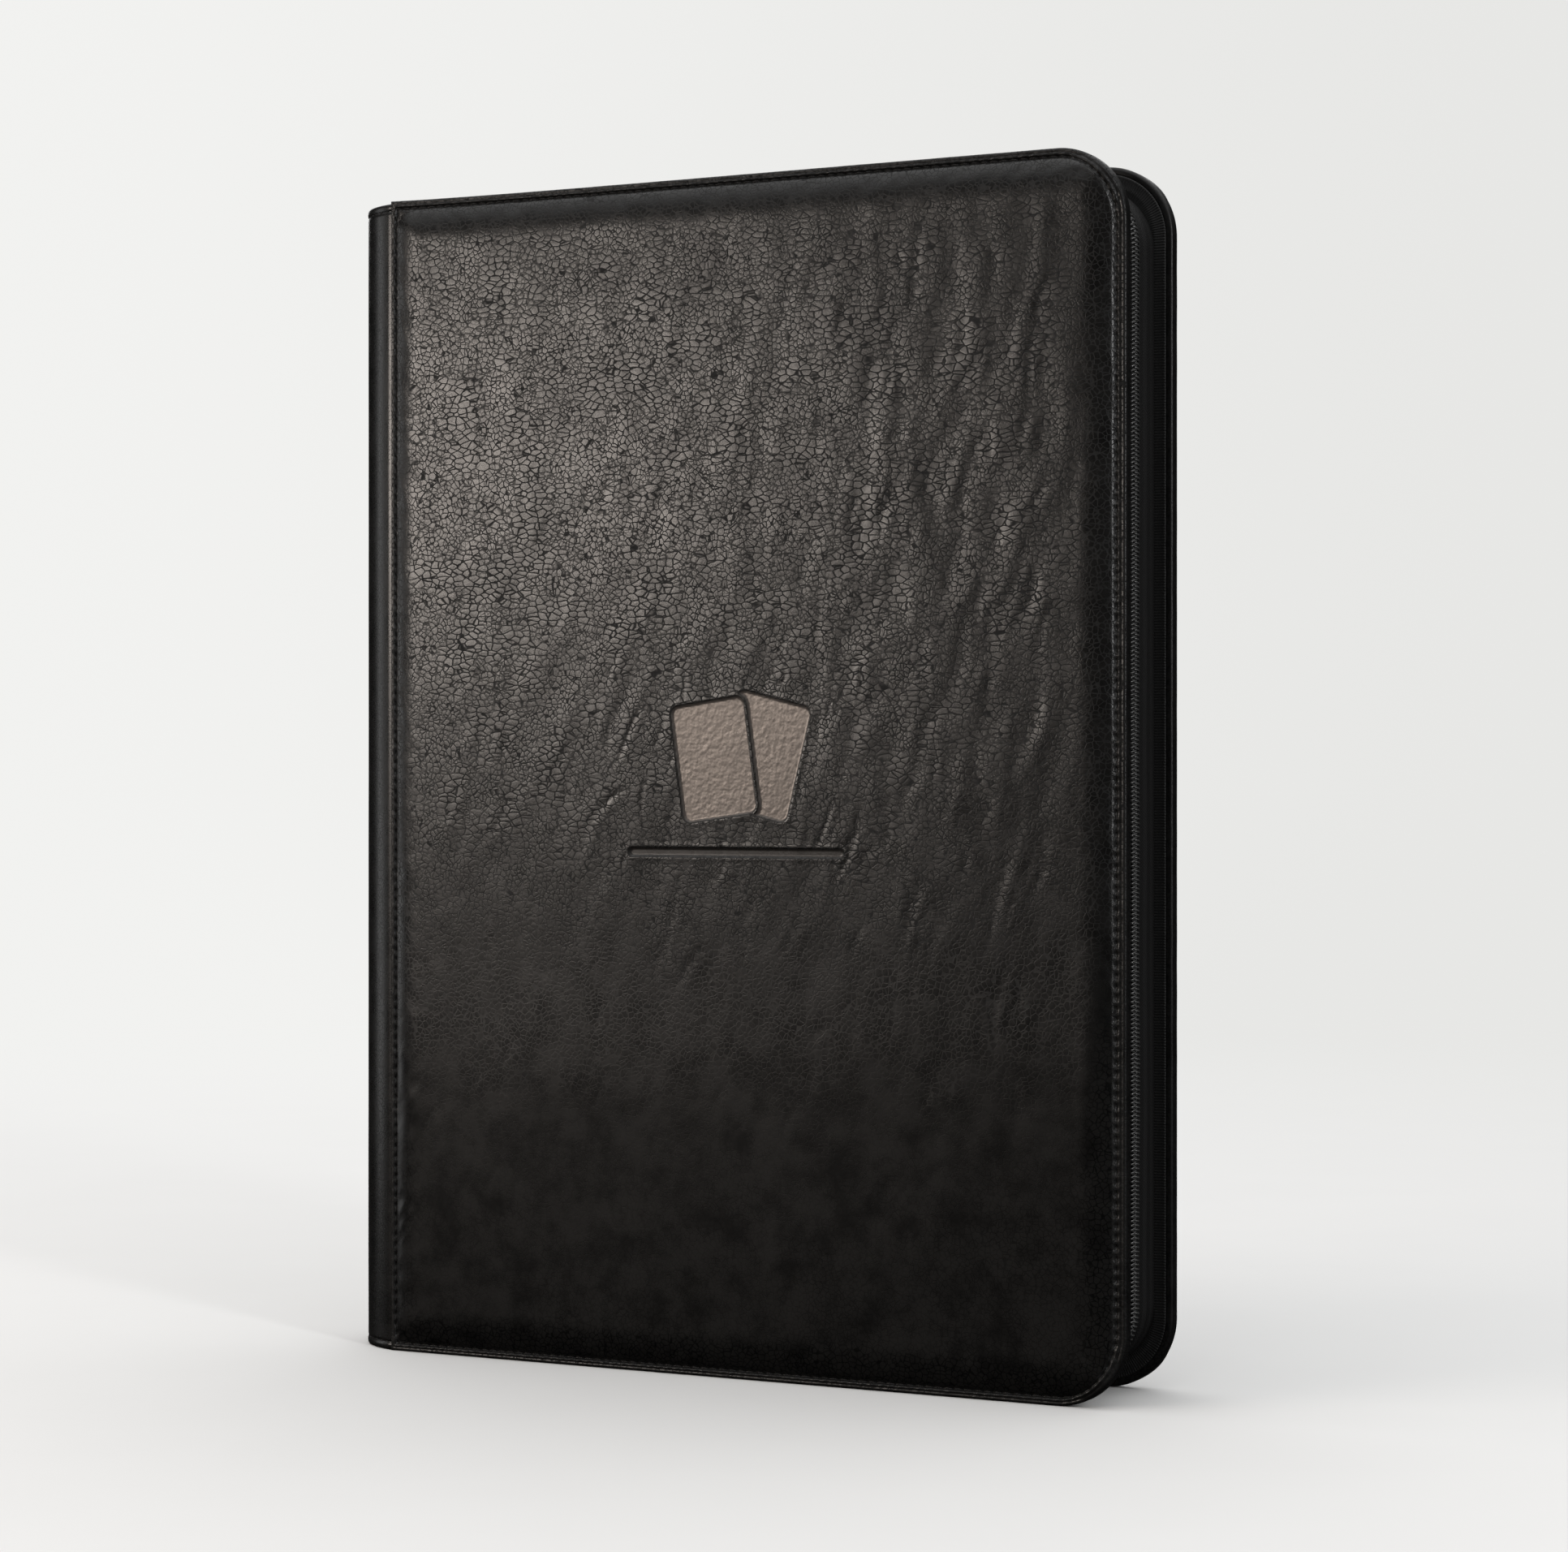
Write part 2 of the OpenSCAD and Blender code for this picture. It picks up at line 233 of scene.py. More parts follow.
class Nodes:
    """A short way to write the nodes of a material or of the world."""

    def __init__(self, owner):
        self.owner = owner
        owner.use_nodes = True
        self.tree = owner.node_tree

    def add(self, kind, inputs=(), **settings):
        node = self.tree.nodes.new(kind)
        for key, value in settings.items():
            setattr(node, key, value)
        for key, value in dict(inputs).items():
            self.put(node.inputs[key], value)
        return node

    def put(self, socket, value):
        if isinstance(value, bpy.types.NodeSocket):
            self.tree.links.new(value, socket)
        else:
            socket.default_value = value

    def math(self, operation, a, b=0.0, c=0.0):
        return self.add("ShaderNodeMath", {0: a, 1: b, 2: c}, operation=operation).outputs[0]

    def ramp(self, value, low, high, to_low=0.0, to_high=1.0, kind="SMOOTHSTEP"):
        inputs = {0: value, 1: low, 2: high, 3: to_low, 4: to_high}
        return self.add("ShaderNodeMapRange", inputs, interpolation_type=kind).outputs[0]

    def millimetres(self, stretch=(1, 1, 1)):
        place = self.add("ShaderNodeTexCoord").outputs["Object"]
        scale = tuple(MM * s for s in stretch)
        return self.add("ShaderNodeMapping", {"Vector": place, "Scale": scale}).outputs[0]

    def spread(self, noise, low, high):
        """From low to high over the middle of a noise, where most of its values are."""
        return self.ramp(noise, 0.3, 0.7, low, high)

    def weighted(self, *parts):
        """The sum of some values, each times its weight."""
        total = None
        for value, weight in parts:
            part = self.math("MULTIPLY", value, weight)
            total = self.math("ADD", total, part) if total else part
        return total

    def waves(self, value, pitch):
        return self.math("SINE", self.math("MULTIPLY", value, 2 * math.pi / pitch))

    def vector_math(self, operation, inputs):
        return self.add("ShaderNodeVectorMath", inputs, operation=operation)

    def noise(self, vector, size, detail=2.0, rough=0.5, output="Fac"):
        inputs = {"Vector": vector, "Scale": 1 / size, "Detail": detail, "Roughness": rough}
        return self.add("ShaderNodeTexNoise", inputs).outputs[output]

    def warped(self, vector, size, amount):
        lumps = self.noise(vector, size, output="Color")
        offset = self.vector_math("SUBTRACT", {0: lumps, 1: (0.5, 0.5, 0.5)}).outputs[0]
        moved = self.vector_math("SCALE", {0: offset, "Scale": amount}).outputs[0]
        return self.vector_math("ADD", {0: vector, 1: moved}).outputs[0]

    def cells(self, vector, size):
        inputs = {"Vector": vector, "Scale": 1 / size}
        return self.add("ShaderNodeTexVoronoi", inputs, feature="DISTANCE_TO_EDGE").outputs["Distance"]

    def attribute(self, name):
        return self.add("ShaderNodeAttribute", attribute_name=name).outputs["Fac"]

    def colour(self, mix, dark, light):
        inputs = {0: mix, 6: (*dark, 1), 7: (*light, 1)}
        return self.add("ShaderNodeMix", inputs, data_type="RGBA").outputs[2]

    def bump(self, height, distance_mm, normal=None):
        inputs = {"Height": height, "Distance": distance_mm / MM, "Strength": 1.0}
        if normal is not None:
            inputs["Normal"] = normal
        return self.add("ShaderNodeBump", inputs).outputs[0]

    def finish(self, **sockets):
        shader = self.tree.nodes["Principled BSDF"]
        for key, value in sockets.items():
            self.put(shader.inputs[key.replace("_", " ")], value)
        return self.owner


def new_material(name):
    return Nodes(bpy.data.materials.new(name))


# The leather's grain: the sizes of its plates, and how far the cracks and the domes reach into them.
ROUND_CELL, LONG_CELL, SMALL_CELL = 1.6, 1.45, 0.55
LONG_STRETCH = (0.5, 1, 0.85)
CRACK, DOME_REACH = 0.1, 0.5
# The grain's two colours: the darker one is painted shade in the cracks and also the dark end of random
# blotches over the plates.
CRACK_SHADE_AND_DARK_TONE, PLATE_AND_LIGHT_TONE = (0.0014, 0.0014, 0.0014), (0.0088, 0.0085, 0.0082)
GLAZE = (0.135, 0.119, 0.108, 1)


def leather_material(name, rough, depth, gloss):
    """Black faux leather. The grain attribute is 1 where the cracked grain is deep and 0 where it is
    smooth, and the pressed attribute is 1 on the emblem, which is glazed by the hot die."""
    n = new_material(name)
    grain, pressed = n.attribute("grain"), n.attribute("pressed")
    place = n.millimetres()
    patches = n.noise(place, 11.0, 2.0)
    folded = n.ramp(n.math("ADD", patches, n.math("MULTIPLY", grain, 0.3)), 0.66, 0.86)
    round_cells = n.cells(n.warped(place, 3.0, 1.1), ROUND_CELL)
    long_cells = n.cells(n.warped(n.millimetres(LONG_STRETCH), 3.0, 1.1), LONG_CELL)
    small_cells = n.cells(n.warped(place, 1.1, 0.35), SMALL_CELL)
    plates, domes = (
        n.add("ShaderNodeMix", {0: folded, 2: n.ramp(round_cells, 0.0, reach),
                                3: n.ramp(long_cells, 0.0, reach)}).outputs[0]
        for reach in (CRACK, DOME_REACH))
    small = n.ramp(small_cells, 0.0, 0.16)
    lint = n.noise(place, 0.4, 2.0, 0.5)
    height = n.weighted((plates, 0.6), (domes, 0.22), (small, 0.1))
    height = n.math("MULTIPLY", height, n.math("ADD", grain, 0.03))
    height = n.math("ADD", height, n.math("MULTIPLY", lint, 0.1))
    hammered = n.noise(place, 1.7, 1.0, 0.5)
    dented = n.bump(n.math("MULTIPLY", hammered, pressed), 0.11)
    normal = n.bump(height, depth, normal=dented)
    depth_share = n.ramp(grain, 0.05, 0.6, 0.0, 0.55, "LINEAR")
    crack = n.math("MULTIPLY", n.math("SUBTRACT", 1.0, plates), depth_share)
    blotch = n.noise(place, 9.0, 4.0, 0.6)
    wear = n.math("ADD", crack, n.math("MULTIPLY", pressed, 0.1))
    roughness = n.math("ADD", n.spread(blotch, rough - 0.02, rough + 0.03), wear)
    # Painted shade: the colour is darkest in the grain's cracks, and over the plates it varies at random in
    # blotches.
    colour = n.colour(n.ramp(n.math("MULTIPLY", plates, blotch), 0.1, 0.6), CRACK_SHADE_AND_DARK_TONE, PLATE_AND_LIGHT_TONE)
    glazed = n.add("ShaderNodeMix", {0: pressed, 6: colour, 7: GLAZE}, data_type="RGBA")
    return n.finish(Base_Color=glazed.outputs[2], Roughness=roughness, Normal=normal,
                    Specular_IOR_Level=gloss, Metallic=n.math("MULTIPLY", pressed, 0.6))


def thread_material():
    n = new_material("black_thread")
    place = n.millimetres()
    twist = n.add("ShaderNodeTexWave", {"Vector": place, "Scale": 1.1, "Distortion": 0.6},
                  bands_direction="DIAGONAL").outputs["Fac"]
    colour = n.colour(twist, (0.004, 0.004, 0.004), (0.013, 0.012, 0.012))
    return n.finish(Base_Color=colour, Roughness=n.ramp(twist, 0, 1, 0.5, 0.65),
                    Normal=n.bump(twist, 0.08), Specular_IOR_Level=0.3)


# Pitches of the weaves: the lining's threads, and the tape's ribs, picks and changes of direction.
LINING_PITCH, TAPE_RIB, TAPE_PICK, TAPE_ZIGZAG = 0.6, 0.85, 0.5, 2.4


def lining_material():
    """Plain cloth, with its threads along X and Z."""
    n = new_material("lining_cloth")
    place = n.warped(n.millimetres(), 3.0, 0.15)
    split = n.add("ShaderNodeSeparateXYZ", {0: place})
    across = n.waves(split.outputs[0], LINING_PITCH)
    along = n.waves(split.outputs[2], LINING_PITCH)
    weave = n.ramp(n.math("MULTIPLY", across, along), -1, 1)
    lint = n.noise(place, 0.35, 3.0, 0.7)
    height = n.math("ADD", weave, n.math("MULTIPLY", lint, 0.4))
    blotch = n.noise(place, 14.0, 3.0)
    colour = n.colour(n.math("MULTIPLY", weave, n.spread(blotch, 0.6, 1.0)),
                      (0.008, 0.008, 0.008), (0.026, 0.025, 0.025))
    return n.finish(Base_Color=colour, Roughness=n.spread(lint, 0.79, 0.91), Normal=n.bump(height, 0.1),
                    Sheen_Weight=0.15, Sheen_Roughness=0.5, Specular_IOR_Level=0.25)


def herringbone_material():
    """Zip tape: rows of slanted ribs that change direction. It reads u along and v across the tape."""
    n = new_material("zip_tape_herringbone")
    uv = n.add("ShaderNodeSeparateXYZ", {0: n.add("ShaderNodeTexCoord").outputs["UV"]})
    along, across = uv.outputs[0], uv.outputs[1]
    zigzag = n.math("PINGPONG", across, TAPE_ZIGZAG)
    ribs = n.waves(n.math("ADD", along, zigzag), TAPE_RIB)
    picks = n.waves(across, TAPE_PICK)
    height = n.math("ADD", n.ramp(ribs, -1, 1), n.math("MULTIPLY", n.ramp(picks, -1, 1), 0.35))
    lint = n.noise(n.millimetres(), 0.3, 3.0, 0.7)
    height = n.math("ADD", height, n.math("MULTIPLY", lint, 0.4))
    colour = n.colour(n.ramp(ribs, -1, 1), (0.003, 0.003, 0.003), (0.0095, 0.009, 0.009))
    return n.finish(Base_Color=colour, Roughness=n.spread(lint, 0.6, 0.75),
                    Normal=n.bump(height, 0.16), Specular_IOR_Level=0.3)


def grosgrain_material():
    n = new_material("grosgrain_ribbon")
    place = n.millimetres()
    lint = n.noise(place, 0.25, 3.0, 0.7)
    blotch = n.noise(place, 8.0, 3.0)
    colour = n.colour(n.math("MULTIPLY", lint, blotch), (0.0035, 0.0035, 0.0035), (0.013, 0.0125, 0.012))
    return n.finish(Base_Color=colour, Roughness=n.spread(lint, 0.45, 0.6),
                    Normal=n.bump(lint, 0.07), Specular_IOR_Level=0.4)


def nylon_material():
    n = new_material("coil_nylon")
    scuffs = n.noise(n.millimetres(), 0.8, 4.0, 0.65)
    colour = n.colour(scuffs, (0.06, 0.06, 0.06), (0.13, 0.13, 0.127))
    return n.finish(Base_Color=colour, Roughness=n.spread(scuffs, 0.2, 0.32),
                    Normal=n.bump(scuffs, 0.02), Specular_IOR_Level=0.9, Metallic=0.35)


def metal_material():
    """Black lacquer on cast zinc, worn a little brighter in patches."""
    n = new_material("black_lacquered_metal")
    place = n.millimetres()
    wear = n.ramp(n.noise(place, 2.4, 5.0, 0.7), 0.56, 0.68)
    orange_peel = n.noise(place, 0.5, 2.0)
    colour = n.colour(wear, (0.018, 0.018, 0.018), (0.07, 0.068, 0.065))
    return n.finish(Base_Color=colour, Metallic=0.7, Roughness=n.ramp(wear, 0, 1, 0.26, 0.4),
                    Normal=n.bump(orange_peel, 0.02), Specular_IOR_Level=0.5)


def plastic_material(name, dark, light, rough, size):
    """Moulded or sheet plastic with a fine pressed texture."""
    n = new_material(name)
    place = n.millimetres()
    texture = n.ramp(n.cells(place, size), 0.0, 0.3)
    dust = n.noise(place, 20.0, 4.0, 0.6)
    colour = n.colour(n.math("MULTIPLY", texture, dust), dark, light)
    return n.finish(Base_Color=colour, Roughness=n.spread(dust, rough - 0.05, rough + 0.05),
                    Normal=n.bump(texture, 0.03), Specular_IOR_Level=0.4)


def board_material():
    n = new_material("grey_board")
    place = n.millimetres()
    fibres = n.noise(n.millimetres((1, 1, 0.3)), 0.9, 5.0, 0.7)
    colour = n.colour(fibres, (0.13, 0.115, 0.095), (0.27, 0.24, 0.2))
    return n.finish(Base_Color=colour, Roughness=n.spread(fibres, 0.85, 0.95),
                    Normal=n.bump(n.noise(place, 0.5, 3.0), 0.05))


def film_material():
    """Clear pocket film, with faint ripples."""
    n = new_material("clear_pocket_film")
    place = n.millimetres()
    ripple = n.noise(place, 18.0, 2.0)
    haze = n.noise(place, 1.6, 4.0, 0.6)
    return n.finish(Base_Color=n.colour(haze, (0.75, 0.78, 0.8), (0.9, 0.92, 0.93)),
                    Roughness=n.spread(haze, 0.08, 0.16), Normal=n.bump(ripple, 0.6),
                    Alpha=0.2, Specular_IOR_Level=0.5)


LEATHER = leather_material("black_leather", 0.26, 0.055, 0.42)
EDGE_LEATHER = leather_material("black_leather_edge", 0.33, 0.05, 0.3)
THREAD = thread_material()
LINING = lining_material()
TAPE = herringbone_material()
GROSGRAIN = grosgrain_material()
NYLON = nylon_material()
METAL = metal_material()
BOARD = board_material()
BINDING = plastic_material("binding_plastic", (0.008, 0.008, 0.008), (0.022, 0.022, 0.022), 0.5, 0.5)
BACKING = plastic_material("page_backing", (0.007, 0.007, 0.0075), (0.018, 0.018, 0.019), 0.42, 0.7)
FILM = film_material()

# ---- Paths round a cover ----


def u_path(inset, corner_r, x_start, step):
    """A path from the spine along the bottom, up the fore-edge and back along the top.
    Gives the points in X and Z, the outward directions, and the distance along it."""
    x_end, z_low, z_high = FORE_X - inset - corner_r, inset, CASE_H - inset
    run, rise = x_end - x_start, z_high - z_low - 2 * corner_r
    arc = corner_r * math.pi / 2
    total = 2 * run + rise + 2 * arc
    t = np.linspace(0, total, max(2, round(total / step) + 1))
    a1 = np.clip((t - run) / arc, 0, 1) * math.pi / 2
    a2 = np.clip((t - run - arc - rise) / arc, 0, 1) * math.pi / 2
    turn = a1 + a2
    out = np.stack([np.sin(turn), -np.cos(turn)], 1)
    up = np.clip(t - run - arc, 0, rise)
    centre_x = np.where(t <= run, x_start + t, np.where(t >= total - run, x_start + total - t, x_end))
    centre = np.stack([centre_x, z_low + corner_r + up], 1)
    return centre + out * corner_r, out, t


def sweep(path, out, section):
    """Points of a section carried along a path. The section's rows are (outwards, y)."""
    rows = path[:, None, :] + out[:, None, :] * section[..., 0][..., None]
    return np.stack(np.broadcast_arrays(rows[..., 0], section[..., 1], rows[..., 1]), -1)


# ---- Cover leather ----

# Distances of the rings of points from the cover's edge, and the turned hem's (inset, level) profile.
EDGE_RINGS = (0, 0.12, 0.3, 0.5, 0.75, 1.0, 1.2, 1.45, 1.7, 1.9, 2.1, 2.25, 2.4, 2.55, 2.75, 3.05, 3.4)
PANEL_RINGS = (2.85, 3.1, 3.6, 4.2, 4.9, 5.7, 6.6, 7.5, 8.4, 9.3, 10.2, 11.2, 12.4, 13.8, 15.5, 18.5)
HEM = ((2.45, -3.55), (2.25, -3.98), (1.7, -4.06), (1.0, -4.06), (0.45, -3.92), (0.12, -3.58),
       (0.0, -3.1), (0.03, -2.0), (0.0, -1.2))
FLAT_INSET = 22.0
EDGE_STEP = 0.45
GRID_STEP = 1.2
EDGE_ROLL = 0.7
PAD_WIDTH = 10.8
PAD_CORNER = 9.0
PAD_ROUND = 2.3
FLARE = 0.7
FLARE_REACH = 28
FLARE_DROP = 14
FINE = 3


def outline_sides(step):
    """The side that each perimeter point is on, and its share of the way along that side, for points
    about a step apart on the last ring. Also the numbers of steps along the straight sides and arcs."""
    nx = round((FORE_X - FOLD_X - 2 * FLAT_INSET) / step)
    nz = round((CASE_H - 2 * FLAT_INSET) / step)
    arcs = round(CORNER_R * math.pi / 2 / step)
    counts = {"bottom": nx, "arc_low": arcs, "fore": nz, "arc_high": arcs, "top": nx, "spine": nz}
    names = np.repeat(list(counts), list(counts.values()))
    shares = np.concatenate([np.arange(count) / count for count in counts.values()])
    return (names, shares), (nx, nz, arcs)


def ring_points(sides, inset):
    """The perimeter's points in X and Z, moved in by inset, which is an array with one value a point."""
    names, f = sides
    low_x, high_x = FOLD_X + inset, FORE_X - np.maximum(inset, CORNER_R)
    low_z, high_z = inset, CASE_H - inset
    bend_low, bend_high = np.maximum(inset, CORNER_R), CASE_H - np.maximum(inset, CORNER_R)
    radius = np.maximum(CORNER_R - inset, 0)
    angle = f * math.pi / 2
    where = [names == side for side in ("bottom", "arc_low", "fore", "arc_high", "top")]
    x = np.select(where, [low_x + (high_x - low_x) * f, high_x + radius * np.sin(angle), FORE_X - inset,
                          high_x + radius * np.cos(angle), high_x + (low_x - high_x) * f], low_x)
    z = np.select(where, [low_z, bend_low - radius * np.cos(angle), bend_low + (bend_high - bend_low) * f,
                          bend_high + radius * np.sin(angle), high_z], high_z + (low_z - high_z) * f)
    flare = FLARE * np.exp(-(x - FOLD_X) / FLARE_REACH) * smooth((z - CASE_H + FLARE_DROP) / FLARE_DROP)
    return np.stack([x, z + flare], 1)


def seam_insets(sides):
    """Distance of the stitching from the edge at each perimeter point."""
    names, f = sides
    ends = smooth(f / 0.02) * smooth((1 - f) / 0.02)
    low, high = SEAM + (SEAM_FORE - SEAM) * smooth(f), SEAM_FORE + (SEAM - SEAM_FORE) * smooth(f)
    return np.select([names == "arc_low", names == "arc_high", names == "fore", names == "spine"],
                     [low, high, np.full(len(f), SEAM_FORE), SEAM + (SEAM_SPINE - SEAM) * ends], SEAM)


def inset_at(ring, seam):
    """A ring's real inset, when the seam's isn't the usual one."""
    share = ring / SEAM if ring < SEAM else (FLAT_INSET - ring) / (FLAT_INSET - SEAM)
    return ring + (seam - SEAM) * share


def pad_height(x, z):
    """Height of the foam's rounded cushion over the cover's edge plane."""
    size = (FORE_X - FOLD_X, CASE_H)
    inside = -box_distance(x - (FOLD_X + FORE_X) / 2, z - CASE_H / 2, size, PAD_CORNER)
    u = np.clip((inside - SEAM - 0.2) / PAD_WIDTH, 0, 1)
    return PAD_H * (1 - (1 - u) ** PAD_ROUND)


def edge_profile(s, t, bead):
    """Height of the leather's edge over the cover's edge plane, at a distance s from the edge and t
    along the stitching. bead is how raised the welt outside the stitching is, and the less it is, the
    rounder the edge."""
    r = EDGE_ROLL + 0.7 * (1 - bead)
    roll = np.where(s < r, np.sqrt(np.clip(r**2 - (r - s) ** 2, 0, None)) - r, 0)
    hole = 0.5 + 0.5 * np.cos(2 * math.pi * t / STITCH_PITCH)
    welts = 0.1 * bell(s, 0.75, 0.34) - 0.14 * bell(s, 1.12, 0.2)
    welts += (0.3 - 0.2 * hole) * bell(s, 1.7, 0.42)
    seam = -(0.3 + 0.34 * hole) * bell(s, SEAM, 0.34) - 0.12 * hole * bell(s, 3.0, 0.45)
    return roll + bead * welts + seam


def creases(x, z, seed, count=260):
    """Short soft folds, most of them steep, and most of them in the upper two thirds. Gives their
    height, and how near each point is to one."""
    rng = np.random.RandomState(seed)
    height, near_fold = np.zeros(x.shape), np.zeros(x.shape)
    for _ in range(count):
        cx = rng.uniform(FOLD_X + 14, FORE_X - 20)
        cz = CASE_H * (1 - 0.06 - 0.86 * rng.beta(1.3, 1.8))
        length = rng.uniform(7, 27)
        width = rng.uniform(0.55, 1.15)
        depth = rng.uniform(0.04, 0.15) * (1 - 0.6 * smooth((150 - cz) / 90))
        lean = math.radians(rng.normal(15, 12))
        bend, wave, phase = rng.normal(0, 0.08), rng.uniform(0.2, 0.9), rng.uniform(0, 6)
        near = (abs(x - cx) < length) & (abs(z - cz) < length)
        px, pz = x[near] - cx, z[near] - cz
        along = px * math.sin(lean) + pz * math.cos(lean)
        across = px * math.cos(lean) - pz * math.sin(lean)
        u = 2 * along / length
        across = across - bend * length * u**2 - wave * np.sin(3.1 * u + phase)
        fade = np.clip(1 - u**2, 0, 1) ** 1.5
        cut = -bell(across, 0, width) + 0.25 * bell(across, 2.1 * width, 1.7 * width)
        cut += 0.15 * bell(across, -2.4 * width, 2.0 * width)
        height[near] += depth * fade * cut
        near_fold[near] += depth * 5 * fade * bell(across, 0, 4)
    return height, np.minimum(near_fold, 1.2)


def relief(x, z, seed):
    """Undulation and folds of the padded leather away from its edges, in millimetres, and how near
    each point is to a fold."""
    warp = 5.0 * noise(x / 19, z / 27, seed + 1)
    lively = (0.25 + 0.75 * smooth((z - 80) / 120)) * (1 + 0.45 * smooth((x - 10) / 70))
    broad = 0.30 * noise(x / 46, z / 64, seed + 2)
    streaks = 0.19 * noise((x - 0.2 * z + warp) / 8.5, z / 26, seed + 3)
    streaks += 0.07 * noise((x - 0.25 * z + warp) / 4.2, z / 11, seed + 4)
    folds, near_fold = creases(x, z, seed + 7)
    return broad + lively * streaks + folds, near_fold


def puckers(s, t, seed):
    """Small folds that run into the panel from the stitches."""
    rays = 0.14 * noise(t / 2.6 + 0.12 * s, s / 7, seed) + 0.2 * noise(t / 6.5 - 0.2 * s, s / 9, seed + 1)
    return rays * smooth((s - 2.6) / 1.5) * (1 - smooth((s - 6) / 9))


# The emblem is two overlapping cards over a rule, all plain shapes. A card has its middle and its lean.
PANEL_X = (HINGE_X + FORE_X) / 2
EMBLEM_Z = CASE_H / 2 + 5
CARD = (24.0, 34.0)
CARD_R = 2.5
CARD_LINE = 1.1
NEAR_CARD = (-7.0, 0.0, -8.0)
FAR_CARD = (9.0, 1.0, 14.0)
RULE = (70.0, 2.4)
RULE_DROP = 27.0
PRESS_DEPTH = 0.5
WINDOW = (84.0, 62.0)
WINDOW_DROP = 4.0


def box_distance(x, z, size, radius):
    """Distance outside a rounded box at the origin, and negative inside it."""
    dx, dz = abs(x) - size[0] / 2 + radius, abs(z) - size[1] / 2 + radius
    outside = np.hypot(np.maximum(dx, 0), np.maximum(dz, 0))
    return outside + np.minimum(np.maximum(dx, dz), 0) - radius


def card_distance(x, z, card):
    a = math.radians(card[2])
    x, z = x - card[0], z - card[1]
    return box_distance(x * math.cos(a) - z * math.sin(a), x * math.sin(a) + z * math.cos(a), CARD, CARD_R)


def emblem_distance(x, z):
    x, z = x - PANEL_X, z - EMBLEM_Z
    near = card_distance(x, z, NEAR_CARD)
    far = np.maximum(card_distance(x, z, FAR_CARD), CARD_LINE - near)
    return np.minimum(np.minimum(near, far), box_distance(x, z + RULE_DROP, RULE, RULE[1] / 2 - 0.1))


def panel_surface(x, z, s, t, seed, emblem):
    """Height over the edge plane at points of the outer face, and the numbers the material reads."""
    calm = smooth((s - 6) / 13)
    waves, near_fold = relief(x, z, seed)
    height = pad_height(x, z) + edge_profile(s, t, 1) * (s < 4) + puckers(s, t, seed) + calm * waves
    grain = (0.4 + 0.4 * smooth((s - 5) / 9)) * (1 + 0.8 * calm * near_fold)
    grain *= (1 + 0.35 * noise(x / 23, z / 31, seed + 12)) * (0.1 + 0.9 * smooth((z - 70) / 110))
    pressed = np.zeros(x.shape)
    if emblem:
        d = emblem_distance(x, z)
        pressed = smooth((0.2 - d) / 0.45)
        around = bell(d, 0.75, 0.6) * (1 - pressed)
        flat = PAD_H + 0.12 * (height - PAD_H)
        height = height * (1 - pressed) + (flat - PRESS_DEPTH) * pressed + 0.04 * around
        grain = grain * (1 - pressed) + 0.05 * pressed
        pressed *= np.where(z > EMBLEM_Z - RULE_DROP + 2 * RULE[1], 1, 0.12)
    return height, {"grain": grain, "pressed": pressed}


def grid_points(x_range, z_range, nx, nz):
    x, z = np.meshgrid(np.linspace(*x_range, nx + 1), np.linspace(*z_range, nz + 1))
    return x.ravel(), z.ravel()


def stitch_line(sides):
    """The closed seam line, the distance of each of its points along it, and the seam's insets. The
    distances are scaled a little so that a whole number of stitches goes round."""
    seam = seam_insets(sides)
    line = ring_points(sides, seam)
    step = np.linalg.norm(np.diff(line, axis=0, append=line[:1]), axis=1)
    total = step.sum()
    return line, (np.cumsum(step) - step) * (round(total / STITCH_PITCH) * STITCH_PITCH / total), seam


def cover_edge(side):
    """The leather's border: the hem turned onto the inside, the cover's side, and the welt and seam."""
    seed = SEEDS[side]
    sides, _ = outline_sides(EDGE_STEP)
    line, t, seam = stitch_line(sides)
    around = len(t)
    bead = np.clip((seam - SEAM_SPINE) / (SEAM - SEAM_SPINE), 0.35, 1)
    wobble = 0.05 * noise(t / 9, 0 * t, seed + 30)
    points, grains = [], []
    for inset, level in HEM:
        xz = ring_points(sides, np.full(around, inset) + wobble)
        points.append(np.stack([xz[:, 0], np.full(around, -EDGE_Y - level), xz[:, 1]], 1))
        grains.append(np.full(around, 0.15))
    for ring in EDGE_RINGS:
        inset = inset_at(ring, seam)
        xz = ring_points(sides, inset + wobble * (1 - ring / 4))
        s = np.full(around, float(ring))
        lumps = 0.07 * noise(t / 1.3, s / 0.9, seed + 31) + 0.06 * noise(t / 3.1, s / 1.4, seed + 32)
        level = edge_profile(s, t, bead) + lumps * bell(s, 1.3, 0.9) + pad_height(xz[:, 0], xz[:, 1])
        level += puckers(s, t, seed) - (0.1 if ring == EDGE_RINGS[-1] else 0)
        points.append(np.stack([xz[:, 0], -EDGE_Y - level, xz[:, 1]], 1))
        grains.append(np.full(around, 0.6))
    cover_piece(side, "cover_edge", np.concatenate(points), strip_faces(len(points), around, closed=True),
                EDGE_LEATHER, "cover_leather", numbers={"grain": np.concatenate(grains)})
    stitch_side(side, line, t)


